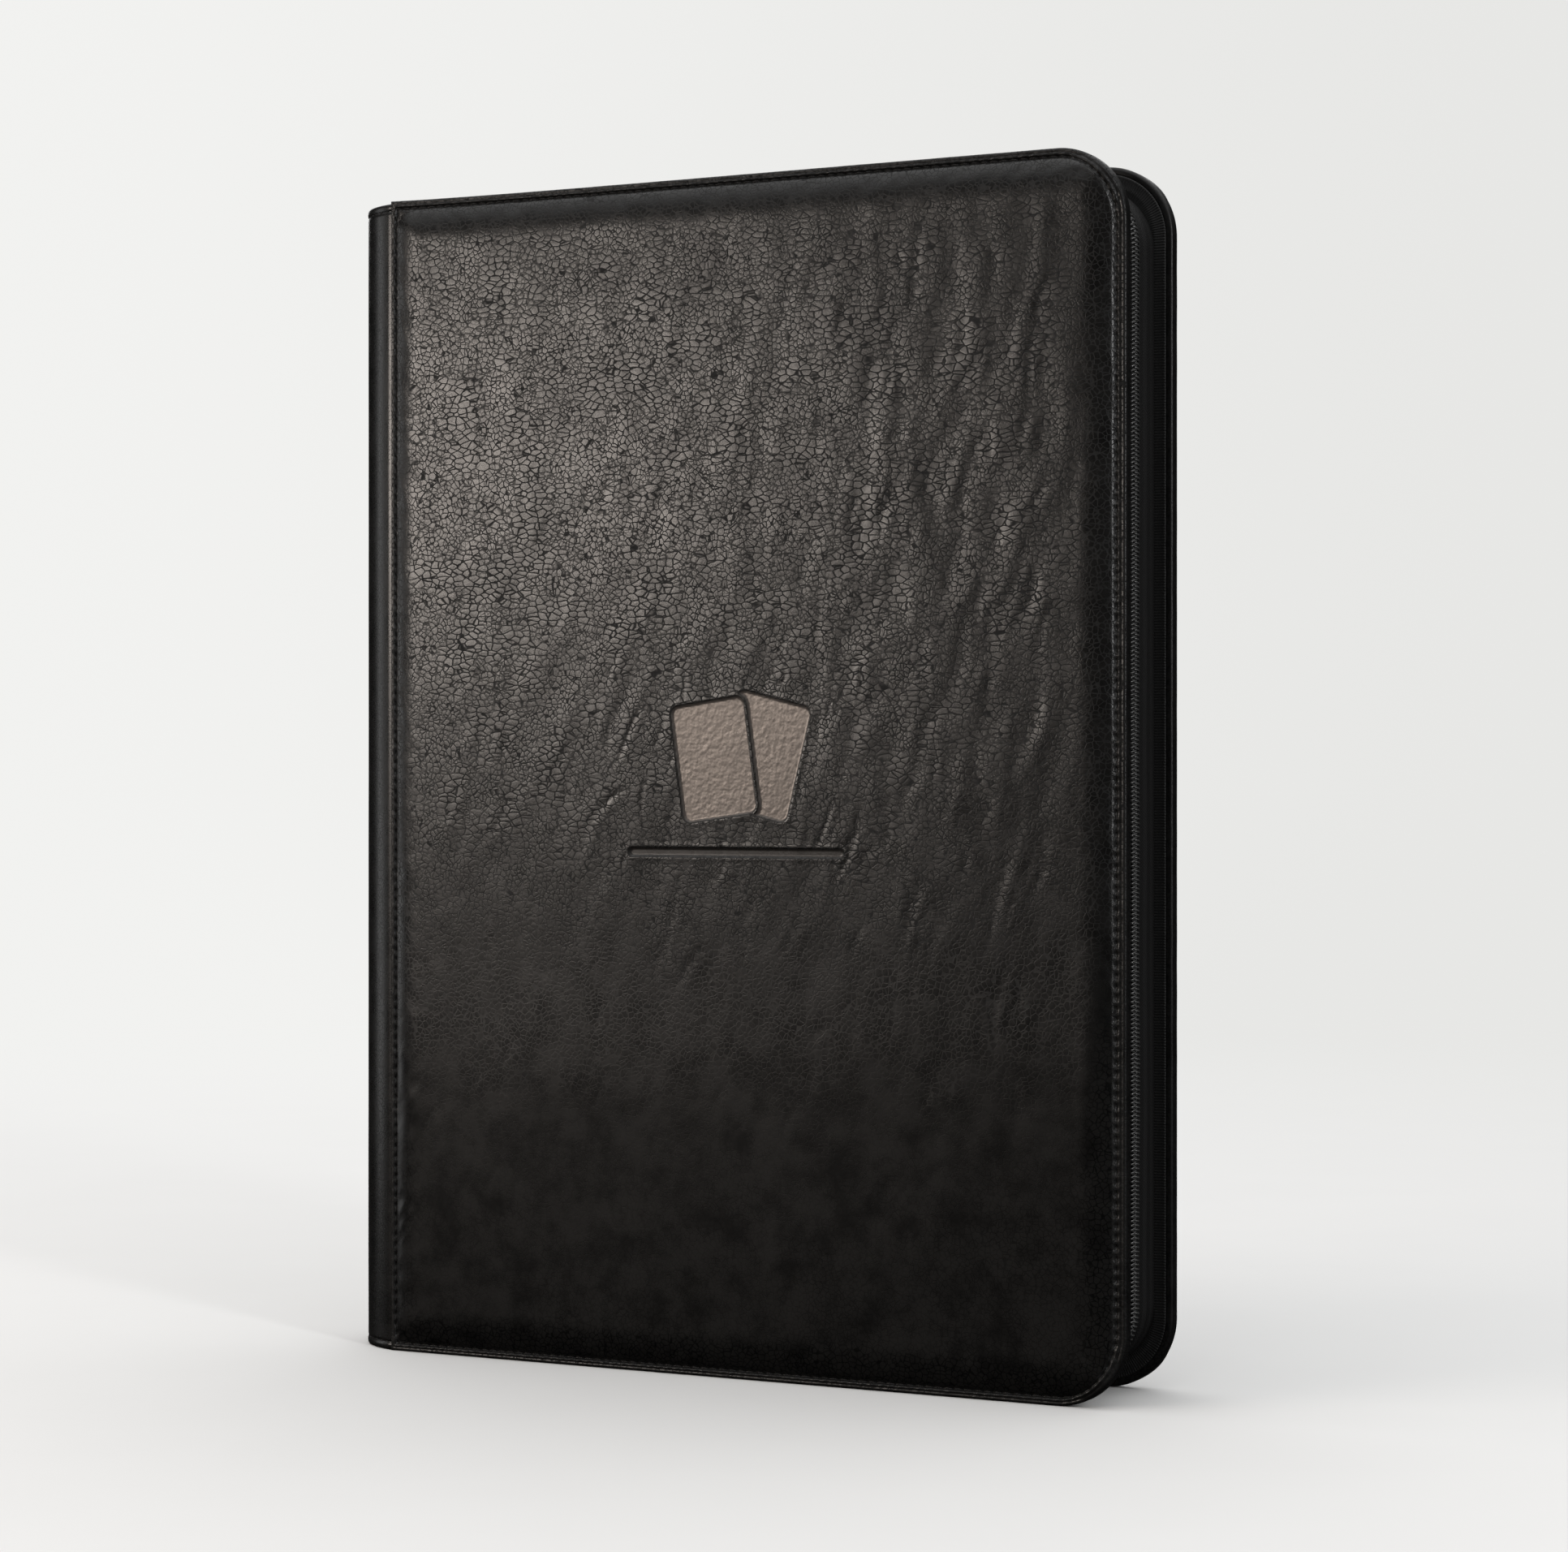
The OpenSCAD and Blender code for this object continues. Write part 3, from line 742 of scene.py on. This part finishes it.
def cover_panel(side):
    """The padded leather inside the seam."""
    seed, emblem = SEEDS[side], side == "front"
    sides, (nx, nz, arcs) = outline_sides(GRID_STEP)
    _, t, seam = stitch_line(sides)
    around = len(t)
    patches = []
    for ring in PANEL_RINGS:
        xz = ring_points(sides, inset_at(ring, seam))
        s = np.full(around, float(ring))
        level, numbers = panel_surface(xz[:, 0], xz[:, 1], s, t, seed, emblem)
        level -= 0.12 if ring == PANEL_RINGS[0] else 0
        patches.append((xz[:, 0], xz[:, 1], level, numbers))
    faces = strip_faces(len(PANEL_RINGS), around, closed=True)
    first = len(PANEL_RINGS) * around
    ranges = (FOLD_X + FLAT_INSET, FORE_X - FLAT_INSET), (FLAT_INSET, CASE_H - FLAT_INSET)
    x, z = grid_points(*ranges, nx, nz)
    patches.append((x, z, *panel_surface(x, z, np.full(x.shape, FLAT_INSET), 0 * x, seed, emblem)))
    row = nx + 1
    border = [first + i for i in range(nx)] + [first + nx] * arcs
    border += [first + nx + row * i for i in range(nz)] + [first + nx + row * nz] * arcs
    border += [first + row * nz + nx - i for i in range(nx)] + [first + row * (nz - i) for i in range(nz)]
    last = first - around
    for i in range(around):
        j = (i + 1) % around
        corners = (last + i, last + j, border[j], border[i])
        faces.append(corners[:3] if border[i] == border[j] else corners)
    window = emblem_window(*ranges, nx, nz) if emblem else (0, 0, 0, 0)
    for r in range(nz):
        for c in range(nx):
            if not (window[0] <= c < window[1] and window[2] <= r < window[3]):
                a = first + r * row + c
                faces.append((a, a + 1, a + row + 1, a + row))
    if emblem:
        patches.append(emblem_patch(window, *ranges, nx, nz, seed))
        start = first + len(x)
        rows, columns = ((window[i + 1] - window[i]) * FINE + 1 for i in (2, 0))
        faces += [tuple(start + i for i in f) for f in strip_faces(rows, columns)]
    points = np.concatenate([np.stack([x, -EDGE_Y - level, z], 1) for x, z, level, _ in patches])
    numbers = {key: np.concatenate([p[3][key] for p in patches]) for key in ("grain", "pressed")}
    piece = cover_piece(side, "cover_leather", points, faces, LEATHER, "cover_leather", merge=True,
                        numbers=numbers)
    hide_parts(f"{side}_cover_skin", f"{side}_cover_foam")


def emblem_window(x_range, z_range, nx, nz):
    """The grid's columns and rows that the fine patch round the emblem takes the place of."""
    step_x, step_z = (x_range[1] - x_range[0]) / nx, (z_range[1] - z_range[0]) / nz
    c0 = math.floor((PANEL_X - WINDOW[0] / 2 - x_range[0]) / step_x)
    r0 = math.floor((EMBLEM_Z - WINDOW_DROP - WINDOW[1] / 2 - z_range[0]) / step_z)
    return c0, c0 + round(WINDOW[0] / step_x), r0, r0 + round(WINDOW[1] / step_z)


def emblem_patch(window, x_range, z_range, nx, nz, seed):
    """The fine patch round the emblem. Its border lies on the straight edges of the coarse grid."""
    c0, c1, r0, r1 = window
    xs = np.linspace(*x_range, nx + 1)
    zs = np.linspace(*z_range, nz + 1)
    fine_x, fine_z = (c1 - c0) * FINE, (r1 - r0) * FINE
    x, z = grid_points((xs[c0], xs[c1]), (zs[r0], zs[r1]), fine_x, fine_z)
    level, numbers = panel_surface(x, z, np.full(x.shape, FLAT_INSET), 0 * x, seed, True)
    grid = level.reshape(fine_z + 1, fine_x + 1)
    for edge in (grid[0], grid[-1], grid[:, 0], grid[:, -1]):
        knots = np.arange(0, len(edge), FINE)
        edge[:] = np.interp(np.arange(len(edge)), knots, edge[knots])
    return x, z, grid.ravel(), numbers


# ---- Stitches ----

STITCH_L = 2.3
THREAD_R = 0.27
THREAD_DEPTH = 0.26
THREAD_CORNERS = 6


def stitches(name, centres, along, outward):
    """Short bars of thread at the centres, with their ends sunk into the cloth or leather."""
    sideways = np.cross(along, outward)
    reach = np.array([-1.0, -0.72, -0.3, 0.3, 0.72, 1.0]) * STITCH_L / 2
    thick = np.array([0.45, 0.85, 1.0, 1.0, 0.85, 0.45]) * THREAD_R
    sunk = -0.34 * np.abs(reach / (STITCH_L / 2)) ** 3
    points, faces = [], []
    bar = tube_faces(len(reach), THREAD_CORNERS)
    for centre, a, o, w in zip(centres, along, outward, sideways):
        first = len(points)
        for r, k, d in zip(reach, thick, sunk):
            for c in range(THREAD_CORNERS):
                b = 2 * math.pi * c / THREAD_CORNERS
                points.append(centre + a * r + o * (d + k * math.sin(b)) + w * (k * math.cos(b) + 0.1 * r))
        faces += [tuple(first + i for i in f) for f in bar]
    return mesh_piece(name, np.array(points), faces, THREAD)


def stitch_side(side, line, t):
    """The stitching round a cover. line is the closed seam line, and t the distance along it."""
    closed = np.concatenate([line, line[:1]])
    reach = t[-1] + np.linalg.norm(line[0] - line[-1])
    ends = np.append(t, reach)
    at = np.arange(round(reach / STITCH_PITCH)) * STITCH_PITCH + STITCH_PITCH / 2
    x, z = (np.interp(at, ends, closed[:, k]) for k in (0, 1))
    ahead, behind = ((at + d) % reach for d in (0.4, -0.4))
    dx, dz = (np.interp(ahead, ends, closed[:, k]) - np.interp(behind, ends, closed[:, k]) for k in (0, 1))
    size = np.hypot(dx, dz)
    zero = np.zeros(len(at))
    centres = mirrored(np.stack([x, zero - EDGE_Y + THREAD_DEPTH, z], 1), side)
    along = np.stack([dx / size, zero, dz / size], 1)
    outward = np.stack([zero, zero - SIDES[side], zero], 1)
    piece = stitches(f"{side}_cover_stitches", centres, along, outward)
    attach(piece, f"{side}_cover")
    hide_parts(f"{side}_cover_stitching")


# ---- Margin ribbon, zip tape and coil ----


RIBBON_LAP = 1.2


def margin_ribbon(side):
    """Ribbed ribbon between the turned hem and the zip tape, with a knotted edge on both sides."""
    width = TAPE_INSET + RIBBON_LAP - RIBBON_INSET
    path, out, t = u_path(RIBBON_INSET, CORNER_R - RIBBON_INSET, RIBBON_LOW[0], RIB_PITCH / 4)
    rib = 0.5 - 0.5 * np.cos(2 * math.pi * t / RIB_PITCH)
    across = np.array([-0.25, 0.05, 0.35, 0.7, 1.2, 2.0, 2.8, 3.3, 3.6, width])
    edge = np.maximum(bell(across, 0.35, 0.28), bell(across, 3.3, 0.28))
    lift = rib[:, None] * (0.1 + 0.12 * edge) + 0.05 + 0.05 * noise(t / 15, 0 * t, 90)[:, None]
    lift[:, 0] = -0.3
    lift[:, 1] *= 0.5
    lift[:, -1] = -0.1
    section = np.stack(np.broadcast_arrays(-across, lift - INNER_Y), -1)
    points = sweep(path, out, section).reshape(-1, 3)
    piece = cover_piece(side, "margin_grosgrain", points, strip_faces(len(t), len(across)), GROSGRAIN,
                        "margin_grosgrain")
    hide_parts(f"{side}_margin_ribbon")


def tape_bow(t, side):
    """How far the tape and coil stand off their straight path, along it."""
    return 0.35 * noise(t / 55, 0 * t + (3 if side == "front" else 8), 5)


def zip_tape(side):
    path, out, t = u_path(TAPE_INSET, TAPE_R, TAPE_LOW[0], 1.0)
    seat, edge = -INNER_Y, TAPE_HIGH[1]
    outer = [(0.55, seat + 0.05), (0.5, seat + 0.5), (0.62, seat + 2.0), (0.78, seat + 4.0),
             (0.74, seat + 6.5), (0.5, seat + 9.0), (0.22, seat + 11.0), (0.12, edge - 2.6),
             (0.16, edge - 2.3), (0.06, edge - 2.0), (0.02, edge)]
    inner = [(o - 0.5, y) for o, y in reversed(outer)]
    section = np.array(outer + inner)
    bow = tape_bow(t, side)[:, None] * smooth((section[:, 1] - seat) / 8)
    rows = np.stack(np.broadcast_arrays(section[:, 0] + bow, section[:, 1]), -1)
    points = sweep(path, out, rows).reshape(-1, 3)
    uv = np.stack(np.broadcast_arrays(t[:, None], section[:, 1]), -1).reshape(-1, 2)
    piece = cover_piece(side, "zip_tape_cloth", points, tube_faces(len(t), len(section)), TAPE,
                        "zip_tape_cloth", uv=uv)
    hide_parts(f"{side}_zip_tape")


COIL_WIRE_R = 0.3
COIL_CORNERS = 5
COIL_PAST_MIDDLE = 0.32
SLIDER_NOSE = 8.5


def zip_coil(side):
    """A helix of nylon wire. The two halves' loops lie between each other where they meet."""
    path, out, t = u_path(TAPE_INSET, TAPE_R, COIL_LOW[0], COIL_PITCH / 12)
    park_x = joint_point("pull_swing")[0] + SLIDER_NOSE
    keep = t <= t[-1] - (park_x - COIL_LOW[0])
    path, out, t = path[keep], out[keep], t[keep]
    phase = 2 * math.pi * t / COIL_PITCH + (0 if side == "front" else math.pi)
    half_w, half_h = (-COIL_LOW[1] + COIL_PAST_MIDDLE) / 2 - COIL_WIRE_R, COIL_H / 2 - COIL_WIRE_R
    centre_y = (COIL_LOW[1] + COIL_PAST_MIDDLE) / 2
    rise = COIL_H / 2 + half_h * np.cos(phase) + tape_bow(t, side)
    y = centre_y + half_w * np.sin(phase)
    line = np.stack([path[:, 0] + out[:, 0] * rise, y, path[:, 1] + out[:, 1] * rise], 1)
    ahead = unit(np.gradient(line, axis=0))
    travel = np.stack([-out[:, 1], 0 * t, out[:, 0]], 1)
    one = unit(np.cross(ahead, travel))
    two = np.cross(ahead, one)
    b = 2 * math.pi * np.arange(COIL_CORNERS)[:, None] / COIL_CORNERS
    points = line[:, None] + COIL_WIRE_R * (np.cos(b) * one[:, None] + np.sin(b) * two[:, None])
    piece = cover_piece(side, "zip_coil_wire", points.reshape(-1, 3), tube_faces(len(t), COIL_CORNERS),
                        NYLON, "zip_coil_nylon")
    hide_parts(f"{side}_zip_coil")


# ---- Spine ----

SPINE_T = 1.2
HEM_ROLL = 0.6
CLOTH_T = 0.4
CLOTH_INSET = 4.5
CLOTH_REACH = 4.5
SPINE_REACH = EDGE_Y - 0.55
SPINE_B = EDGE_Y + 0.4
SPINE_START = math.asin(SPINE_REACH / SPINE_B)
SPINE_HALF = np.array([(FOLD_X - 0.4 - WRAP_LOW[0]) / (1 - math.cos(SPINE_START)), SPINE_B])
SPINE_X = WRAP_LOW[0] + SPINE_HALF[0]


def spine_point(angle):
    """A point in X and Y on the spine's bowed outline. The angle is 0 at the middle of the spine."""
    return np.stack([SPINE_X - SPINE_HALF[0] * np.cos(angle), SPINE_HALF[1] * np.sin(angle)], -1)


def spine_profile():
    """The front half of the spine's outline, from under the cover's folded edge to the middle."""
    tucked = [(FOLD_X + 1.1, -SPINE_REACH + 0.25), (FOLD_X + 0.3, -SPINE_REACH + 0.1)]
    return np.concatenate([np.array(tucked), spine_point(-np.linspace(SPINE_START, 0, 32))])


def spine_rows():
    """Heights up the spine and how far each lies under the surface: the rolled hems and their seams."""
    near = [0.0, 0.15, 0.4, 0.8, 1.4, 1.9, 2.2, 2.4, 2.6, 2.9, 3.5, 4.6, 6.0]
    middle = list(np.linspace(8.5, CASE_H - 8.5, 130))
    z = np.array(near + middle + [CASE_H - n for n in reversed(near)])
    end = np.minimum(z, CASE_H - z)
    round_end = np.sqrt(np.clip(HEM_ROLL**2 - (HEM_ROLL - end) ** 2, 0, None))
    roll = np.where(end < HEM_ROLL, HEM_ROLL - round_end, 0)
    sink = roll + 0.26 * bell(end, SEAM, 0.3) - 0.14 * bell(end, 1.3, 0.8)
    return z, sink


def spine_leather(side):
    outline = spine_profile()
    ahead = unit(np.gradient(outline, axis=0))
    inward = np.stack([ahead[:, 1], -ahead[:, 0]], 1)
    z, sink = spine_rows()
    length = distance_along(outline)
    wave = 0.08 * noise(length / 12, z[:, None] / 70, 31) + 0.02 * noise(length / 7, z[:, None] / 17, 32)
    wave *= smooth((length - 3.5) / 4)
    layers = []
    for depth, height in ((sink[:, None] + wave, z), ((SPINE_T + wave)[::-1], z[::-1])):
        plan = outline + inward * depth[..., None]
        layers.append(np.stack(np.broadcast_arrays(plan[..., 0], plan[..., 1], height[:, None]), -1))
    points = np.concatenate(layers).reshape(-1, 3)
    rows, columns = 2 * len(z), len(outline)
    last = (rows - 1) * columns
    faces = strip_faces(rows, columns)
    faces += [(last + c, last + c + 1, c + 1, c) for c in range(columns - 1)]
    faces += [tuple(r * columns for r in range(rows))]
    faces += [tuple(r * columns + columns - 1 for r in range(rows))[::-1]]
    piece = mesh_piece(f"spine_leather_{side}", mirrored(points, side), faces, LEATHER,
                       {"grain": np.full(len(points), 0.12)})
    tidy(piece)
    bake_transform(piece)
    if side == "front":
        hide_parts("spine_wrap")


def spine_stitches():
    centres, along, outward = [], [], []
    angles = np.linspace(-SPINE_START, SPINE_START, 400)
    t = distance_along(spine_point(angles))
    for level in (SEAM, CASE_H - SEAM):
        for at in np.arange(1.6, t[-1] - 1, STITCH_PITCH):
            a = np.interp(at, t, angles)
            normal = np.array([-math.cos(a) * SPINE_HALF[1], math.sin(a) * SPINE_HALF[0]])
            normal /= np.linalg.norm(normal)
            place = spine_point(a) - THREAD_DEPTH * normal
            centres.append((place[0], place[1], level))
            along.append((-normal[1], normal[0], 0))
            outward.append((normal[0], normal[1], 0))
    piece = stitches("spine_stitches", np.array(centres), np.array(along), np.array(outward))
    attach(piece, "spine")
    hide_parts("spine_hem_stitching")


def hinge_cloth(side):
    """Lining that bridges the gap between the spine and a cover, on the inside."""
    start = np.array([LINING_HIGH[0] - 0.4, -LINING_HIGH[1] + 1.2])
    end = np.array([HINGE_X + CLOTH_REACH, -INNER_Y - 0.02])
    f = np.linspace(0, 1, 15)
    line = start + (end - start) * f[:, None]
    line[:, 1] -= 1.1 * np.sin(math.pi * f) * (1 - f)
    line[f > 0.75, 1] = np.maximum(line[f > 0.75, 1], end[1])
    z = np.linspace(CLOTH_INSET, CASE_H - CLOTH_INSET, 60)
    section = np.concatenate([line, line[::-1] - np.array([0, CLOTH_T])])
    points = np.stack(np.broadcast_arrays(section[:, 0], section[:, 1], z[:, None]), -1).reshape(-1, 3)
    piece = mesh_piece(f"{side}_hinge_cloth", mirrored(points, side),
                       tube_faces(len(z), len(section)), LINING)
    tidy(piece, merge=False)
    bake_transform(piece)


# ---- Pages ----

POCKETS = 3
FILM_EDGE = 3.0
FILM_START = 9.0
FILM_LEVEL = 0.16
WELD = 3.2
POCKET_RISE = 0.2
SHEET_CORNER_R = 4.0
SHEET_HALF_T = 0.15


def pocket_sheet(width, height, face):
    """One face's film: nine soft pockets between flat welds, open on the side nearer the spine."""
    nx, nz = 66, 90
    x, z = np.meshgrid(np.linspace(0, width, nx), np.linspace(0, height, nz))
    cell_w, cell_h = (width - WELD) / POCKETS, (height - WELD) / POCKETS
    u = ((x - WELD / 2) % cell_w) / cell_w
    v = ((z - WELD / 2) % cell_h) / cell_h
    rise = smooth(np.minimum(u, 1 - u) * cell_w / 5) * smooth(np.minimum(v, 1 - v) * cell_h / 5)
    inside = (x > WELD / 2) & (x < width - WELD / 2) & (z > WELD / 2) & (z < height - WELD / 2)
    mouth = bell(u * cell_w, 4.2, 0.9) * 0.5
    level = FILM_LEVEL + POCKET_RISE * (rise + mouth * smooth(np.minimum(v, 1 - v) * cell_h / 4)) * inside
    return np.stack([x, face * level, z], -1).reshape(-1, 3), strip_faces(nz, nx)


def page_meshes():
    """The backing sheet and the film of one page, with the page's hinge at x = 0 and z = 0."""
    low, high = node_box(PAGES[0])
    width, height = high[0] - joint_point(PAGES[0] + "_hinge")[0], high[2] - low[2]
    r = SHEET_CORNER_R
    corner = [(r - r * math.cos(a), r - r * math.sin(a)) for a in np.linspace(0, math.pi / 2, 8)]
    lower, upper = [(width - x, z) for x, z in corner], [(width - x, height - z) for x, z in corner]
    outline = [(0, 0), *lower[::-1], *upper, (0, height)]
    count = len(outline)
    points = [(x, y, z) for y in (-SHEET_HALF_T, SHEET_HALF_T) for x, z in outline]
    faces = [tuple(range(count)), tuple(range(count, 2 * count))[::-1]]
    faces += [(i, (i + 1) % count, (i + 1) % count + count, i + count) for i in range(count)]
    backing = tidy(mesh_piece("page_backing", np.array(points), faces, BACKING, is_smooth=False))
    sheets, sheet_faces = [], []
    for face in (-1, 1):
        points, quads = pocket_sheet(width - FILM_START - FILM_EDGE, height - 2 * FILM_EDGE, face)
        start = sum(len(sheet) for sheet in sheets)
        sheet_faces += [tuple(start + i for i in (q if face < 0 else q[::-1])) for q in quads]
        sheets.append(points + np.array([FILM_START, 0, FILM_EDGE]))
    film = mesh_piece("page_film", np.concatenate(sheets), sheet_faces, FILM)
    return backing, film, low[2]


def pages():
    backing, film, low_z = page_meshes()
    for node in PAGES:
        place = joint_point(node + "_hinge") / MM
        for shape, name in ((backing, "sheet"), (film, "pockets")):
            piece = add_object(f"{node}_{name}", shape.data)
            piece.location = (place[0], place[1], low_z / MM)
            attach(piece, node)
            if name == "sheet":
                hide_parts(node)
    for shape in (backing, film):
        bpy.data.objects.remove(shape)


# ---- CAD nodes that stay ----

KEPT = (
    (BOARD, ("front_cover_board", "back_cover_board")),
    (LINING, ("front_cover_lining", "back_cover_lining", "spine_lining", "spine_gusset_top",
              "spine_gusset_bottom")),
    (BINDING, ("spine_stiffener", "page_binding")),
    (METAL, ("front_zip_top_stop", "back_zip_top_stop", "zip_bottom_stop", "zip_slider", "zip_pull")),
)


def kept_nodes():
    for material, names in KEPT:
        for name in names:
            data = frame["nodes"][name].data
            data.materials.clear()
            data.materials.append(material)


# ---- Stage, lights and camera ----

FLOOR_SIZE = 60.0
FLOOR_DROP = 0.05
FLOOR_TONES = (0.75, 0.75, 0.745), (0.77, 0.77, 0.765)
FADE = (0.25, 1.5)
# Backdrop tones: lighter to the left and darker to the right, painted shade of the light falling off across
# the backdrop.
LEFT_TONE = (0.885, 0.885, 0.87)
RIGHT_TONE = (0.80, 0.80, 0.785)
ACROSS = (0.893, 0.451, 0.0)
TONE_SPAN = (-0.22, 0.22)
# The height of a direction at which the sky's light starts and stops rising, and the light at each.
DOME = (0.35, 0.9, 0.014, 1.9)
# Each softbox's place and target in metres, its width and height, its watts and its colour.
SOFTBOXES = {
    "key_softbox": ((-0.99, -1.16, 0.40), (-0.05, 0.0, 0.26), (0.86, 0.21), 10.0, (1.0, 0.90, 0.82)),
    "edge_softbox": ((1.35, -0.75, 0.55), (0.12, 0.0, 0.20), (0.16, 0.70), 8.0, (1.0, 1.0, 1.0)),
    "spine_softbox": ((-1.55, -0.22, 0.30), (-0.12, 0.0, 0.18), (0.35, 0.8), 1.2, (1.0, 1.0, 1.0)),
    "back_softbox": ((-0.9, 1.5, 0.9), (0.0, 0.0, 0.2), (1.5, 0.6), 4.5, (1.0, 1.0, 1.0)),
}
LENS = 83.7
SENSOR = 36.0
CAMERA_TURN = 26.8
CAMERA_FROM_EDGE = (0.3687, -0.9392, 0.00025)


def backdrop_tone(n, direction):
    """The pale backdrop's colour, with painted shade: a little darker to the right of the front of the
    scene.
    """
    heading = n.vector_math("NORMALIZE", {0: direction}).outputs[0]
    share = n.vector_math("DOT_PRODUCT", {0: heading, 1: ACROSS}).outputs["Value"]
    return n.colour(n.ramp(share, *TONE_SPAN), LEFT_TONE, RIGHT_TONE)


def floor():
    """A pale floor whose lit middle passes into the backdrop tone further out, with that tone's painted
    shade to the right.
    """
    n = new_material("studio_floor")
    place = n.add("ShaderNodeTexCoord").outputs["Object"]
    far = n.ramp(n.vector_math("LENGTH", {0: place}).outputs["Value"], *FADE)
    speck = n.noise(n.millimetres(), 60.0, 3.0)
    lit = n.add("ShaderNodeBsdfDiffuse", {"Color": n.colour(speck, *FLOOR_TONES)})
    glow = n.add("ShaderNodeEmission", {"Color": backdrop_tone(n, place)})
    mix = n.add("ShaderNodeMixShader", {0: far, 1: lit.outputs[0], 2: glow.outputs[0]})
    n.tree.nodes.remove(n.tree.nodes["Principled BSDF"])
    n.put(n.tree.nodes["Material Output"].inputs["Surface"], mix.outputs[0])
    half = FLOOR_SIZE * MM / 2
    corners = [(x, y, -FLOOR_DROP) for x, y in ((-half, -half), (half, -half), (half, half), (-half, half))]
    ground = mesh_piece("studio_floor", np.array(corners), [(0, 1, 2, 3)], n.owner, is_smooth=False)
    ground.visible_glossy = False
    ground.visible_diffuse = False


def world():
    """Bright overhead and dim near the horizon for lighting, and a pale backdrop for the camera."""
    n = Nodes(bpy.data.worlds.new("studio"))
    bpy.context.scene.world = n.owner
    n.tree.nodes.clear()
    direction = n.add("ShaderNodeTexCoord").outputs["Generated"]
    height = n.add("ShaderNodeSeparateXYZ", {0: direction}).outputs[2]
    overhead = n.add("ShaderNodeBackground", {"Strength": n.ramp(height, *DOME)})
    pale = n.add("ShaderNodeBackground", {"Color": backdrop_tone(n, direction)})
    seen = n.add("ShaderNodeLightPath").outputs["Is Camera Ray"]
    mix = n.add("ShaderNodeMixShader", {0: seen, 1: overhead.outputs[0], 2: pale.outputs[0]})
    n.add("ShaderNodeOutputWorld", {0: mix.outputs[0]})


def lights():
    for name, (place, target, size, power, colour) in SOFTBOXES.items():
        light = bpy.data.lights.new(name, "AREA")
        light.shape = "RECTANGLE"
        light.size, light.size_y = size
        light.energy = power
        light.color = colour
        lamp = add_object(name, light)
        lamp.location = place
        lamp.visible_camera = False
        lamp.rotation_euler = (Vector(target) - Vector(place)).to_track_quat("-Z", "Y").to_euler()


def camera():
    data = bpy.data.cameras.new("camera")
    data.sensor_width = SENSOR
    data.lens = LENS
    shot = add_object("camera", data)
    edge = (FORE_X / MM, -EDGE_Y / MM, CASE_H / MM / 2)
    shot.location = [start + step for start, step in zip(edge, CAMERA_FROM_EDGE)]
    shot.rotation_euler = (math.radians(90), 0, math.radians(CAMERA_TURN))
    bpy.context.scene.camera = shot
    bpy.context.scene.view_settings.view_transform = "Standard"


camera()
world()
lights()
floor()
kept_nodes()
for cover_side in SIDES:
    cover_panel(cover_side)
    cover_edge(cover_side)
    margin_ribbon(cover_side)
    zip_tape(cover_side)
    zip_coil(cover_side)
    spine_leather(cover_side)
    hinge_cloth(cover_side)
spine_stitches()
pages()
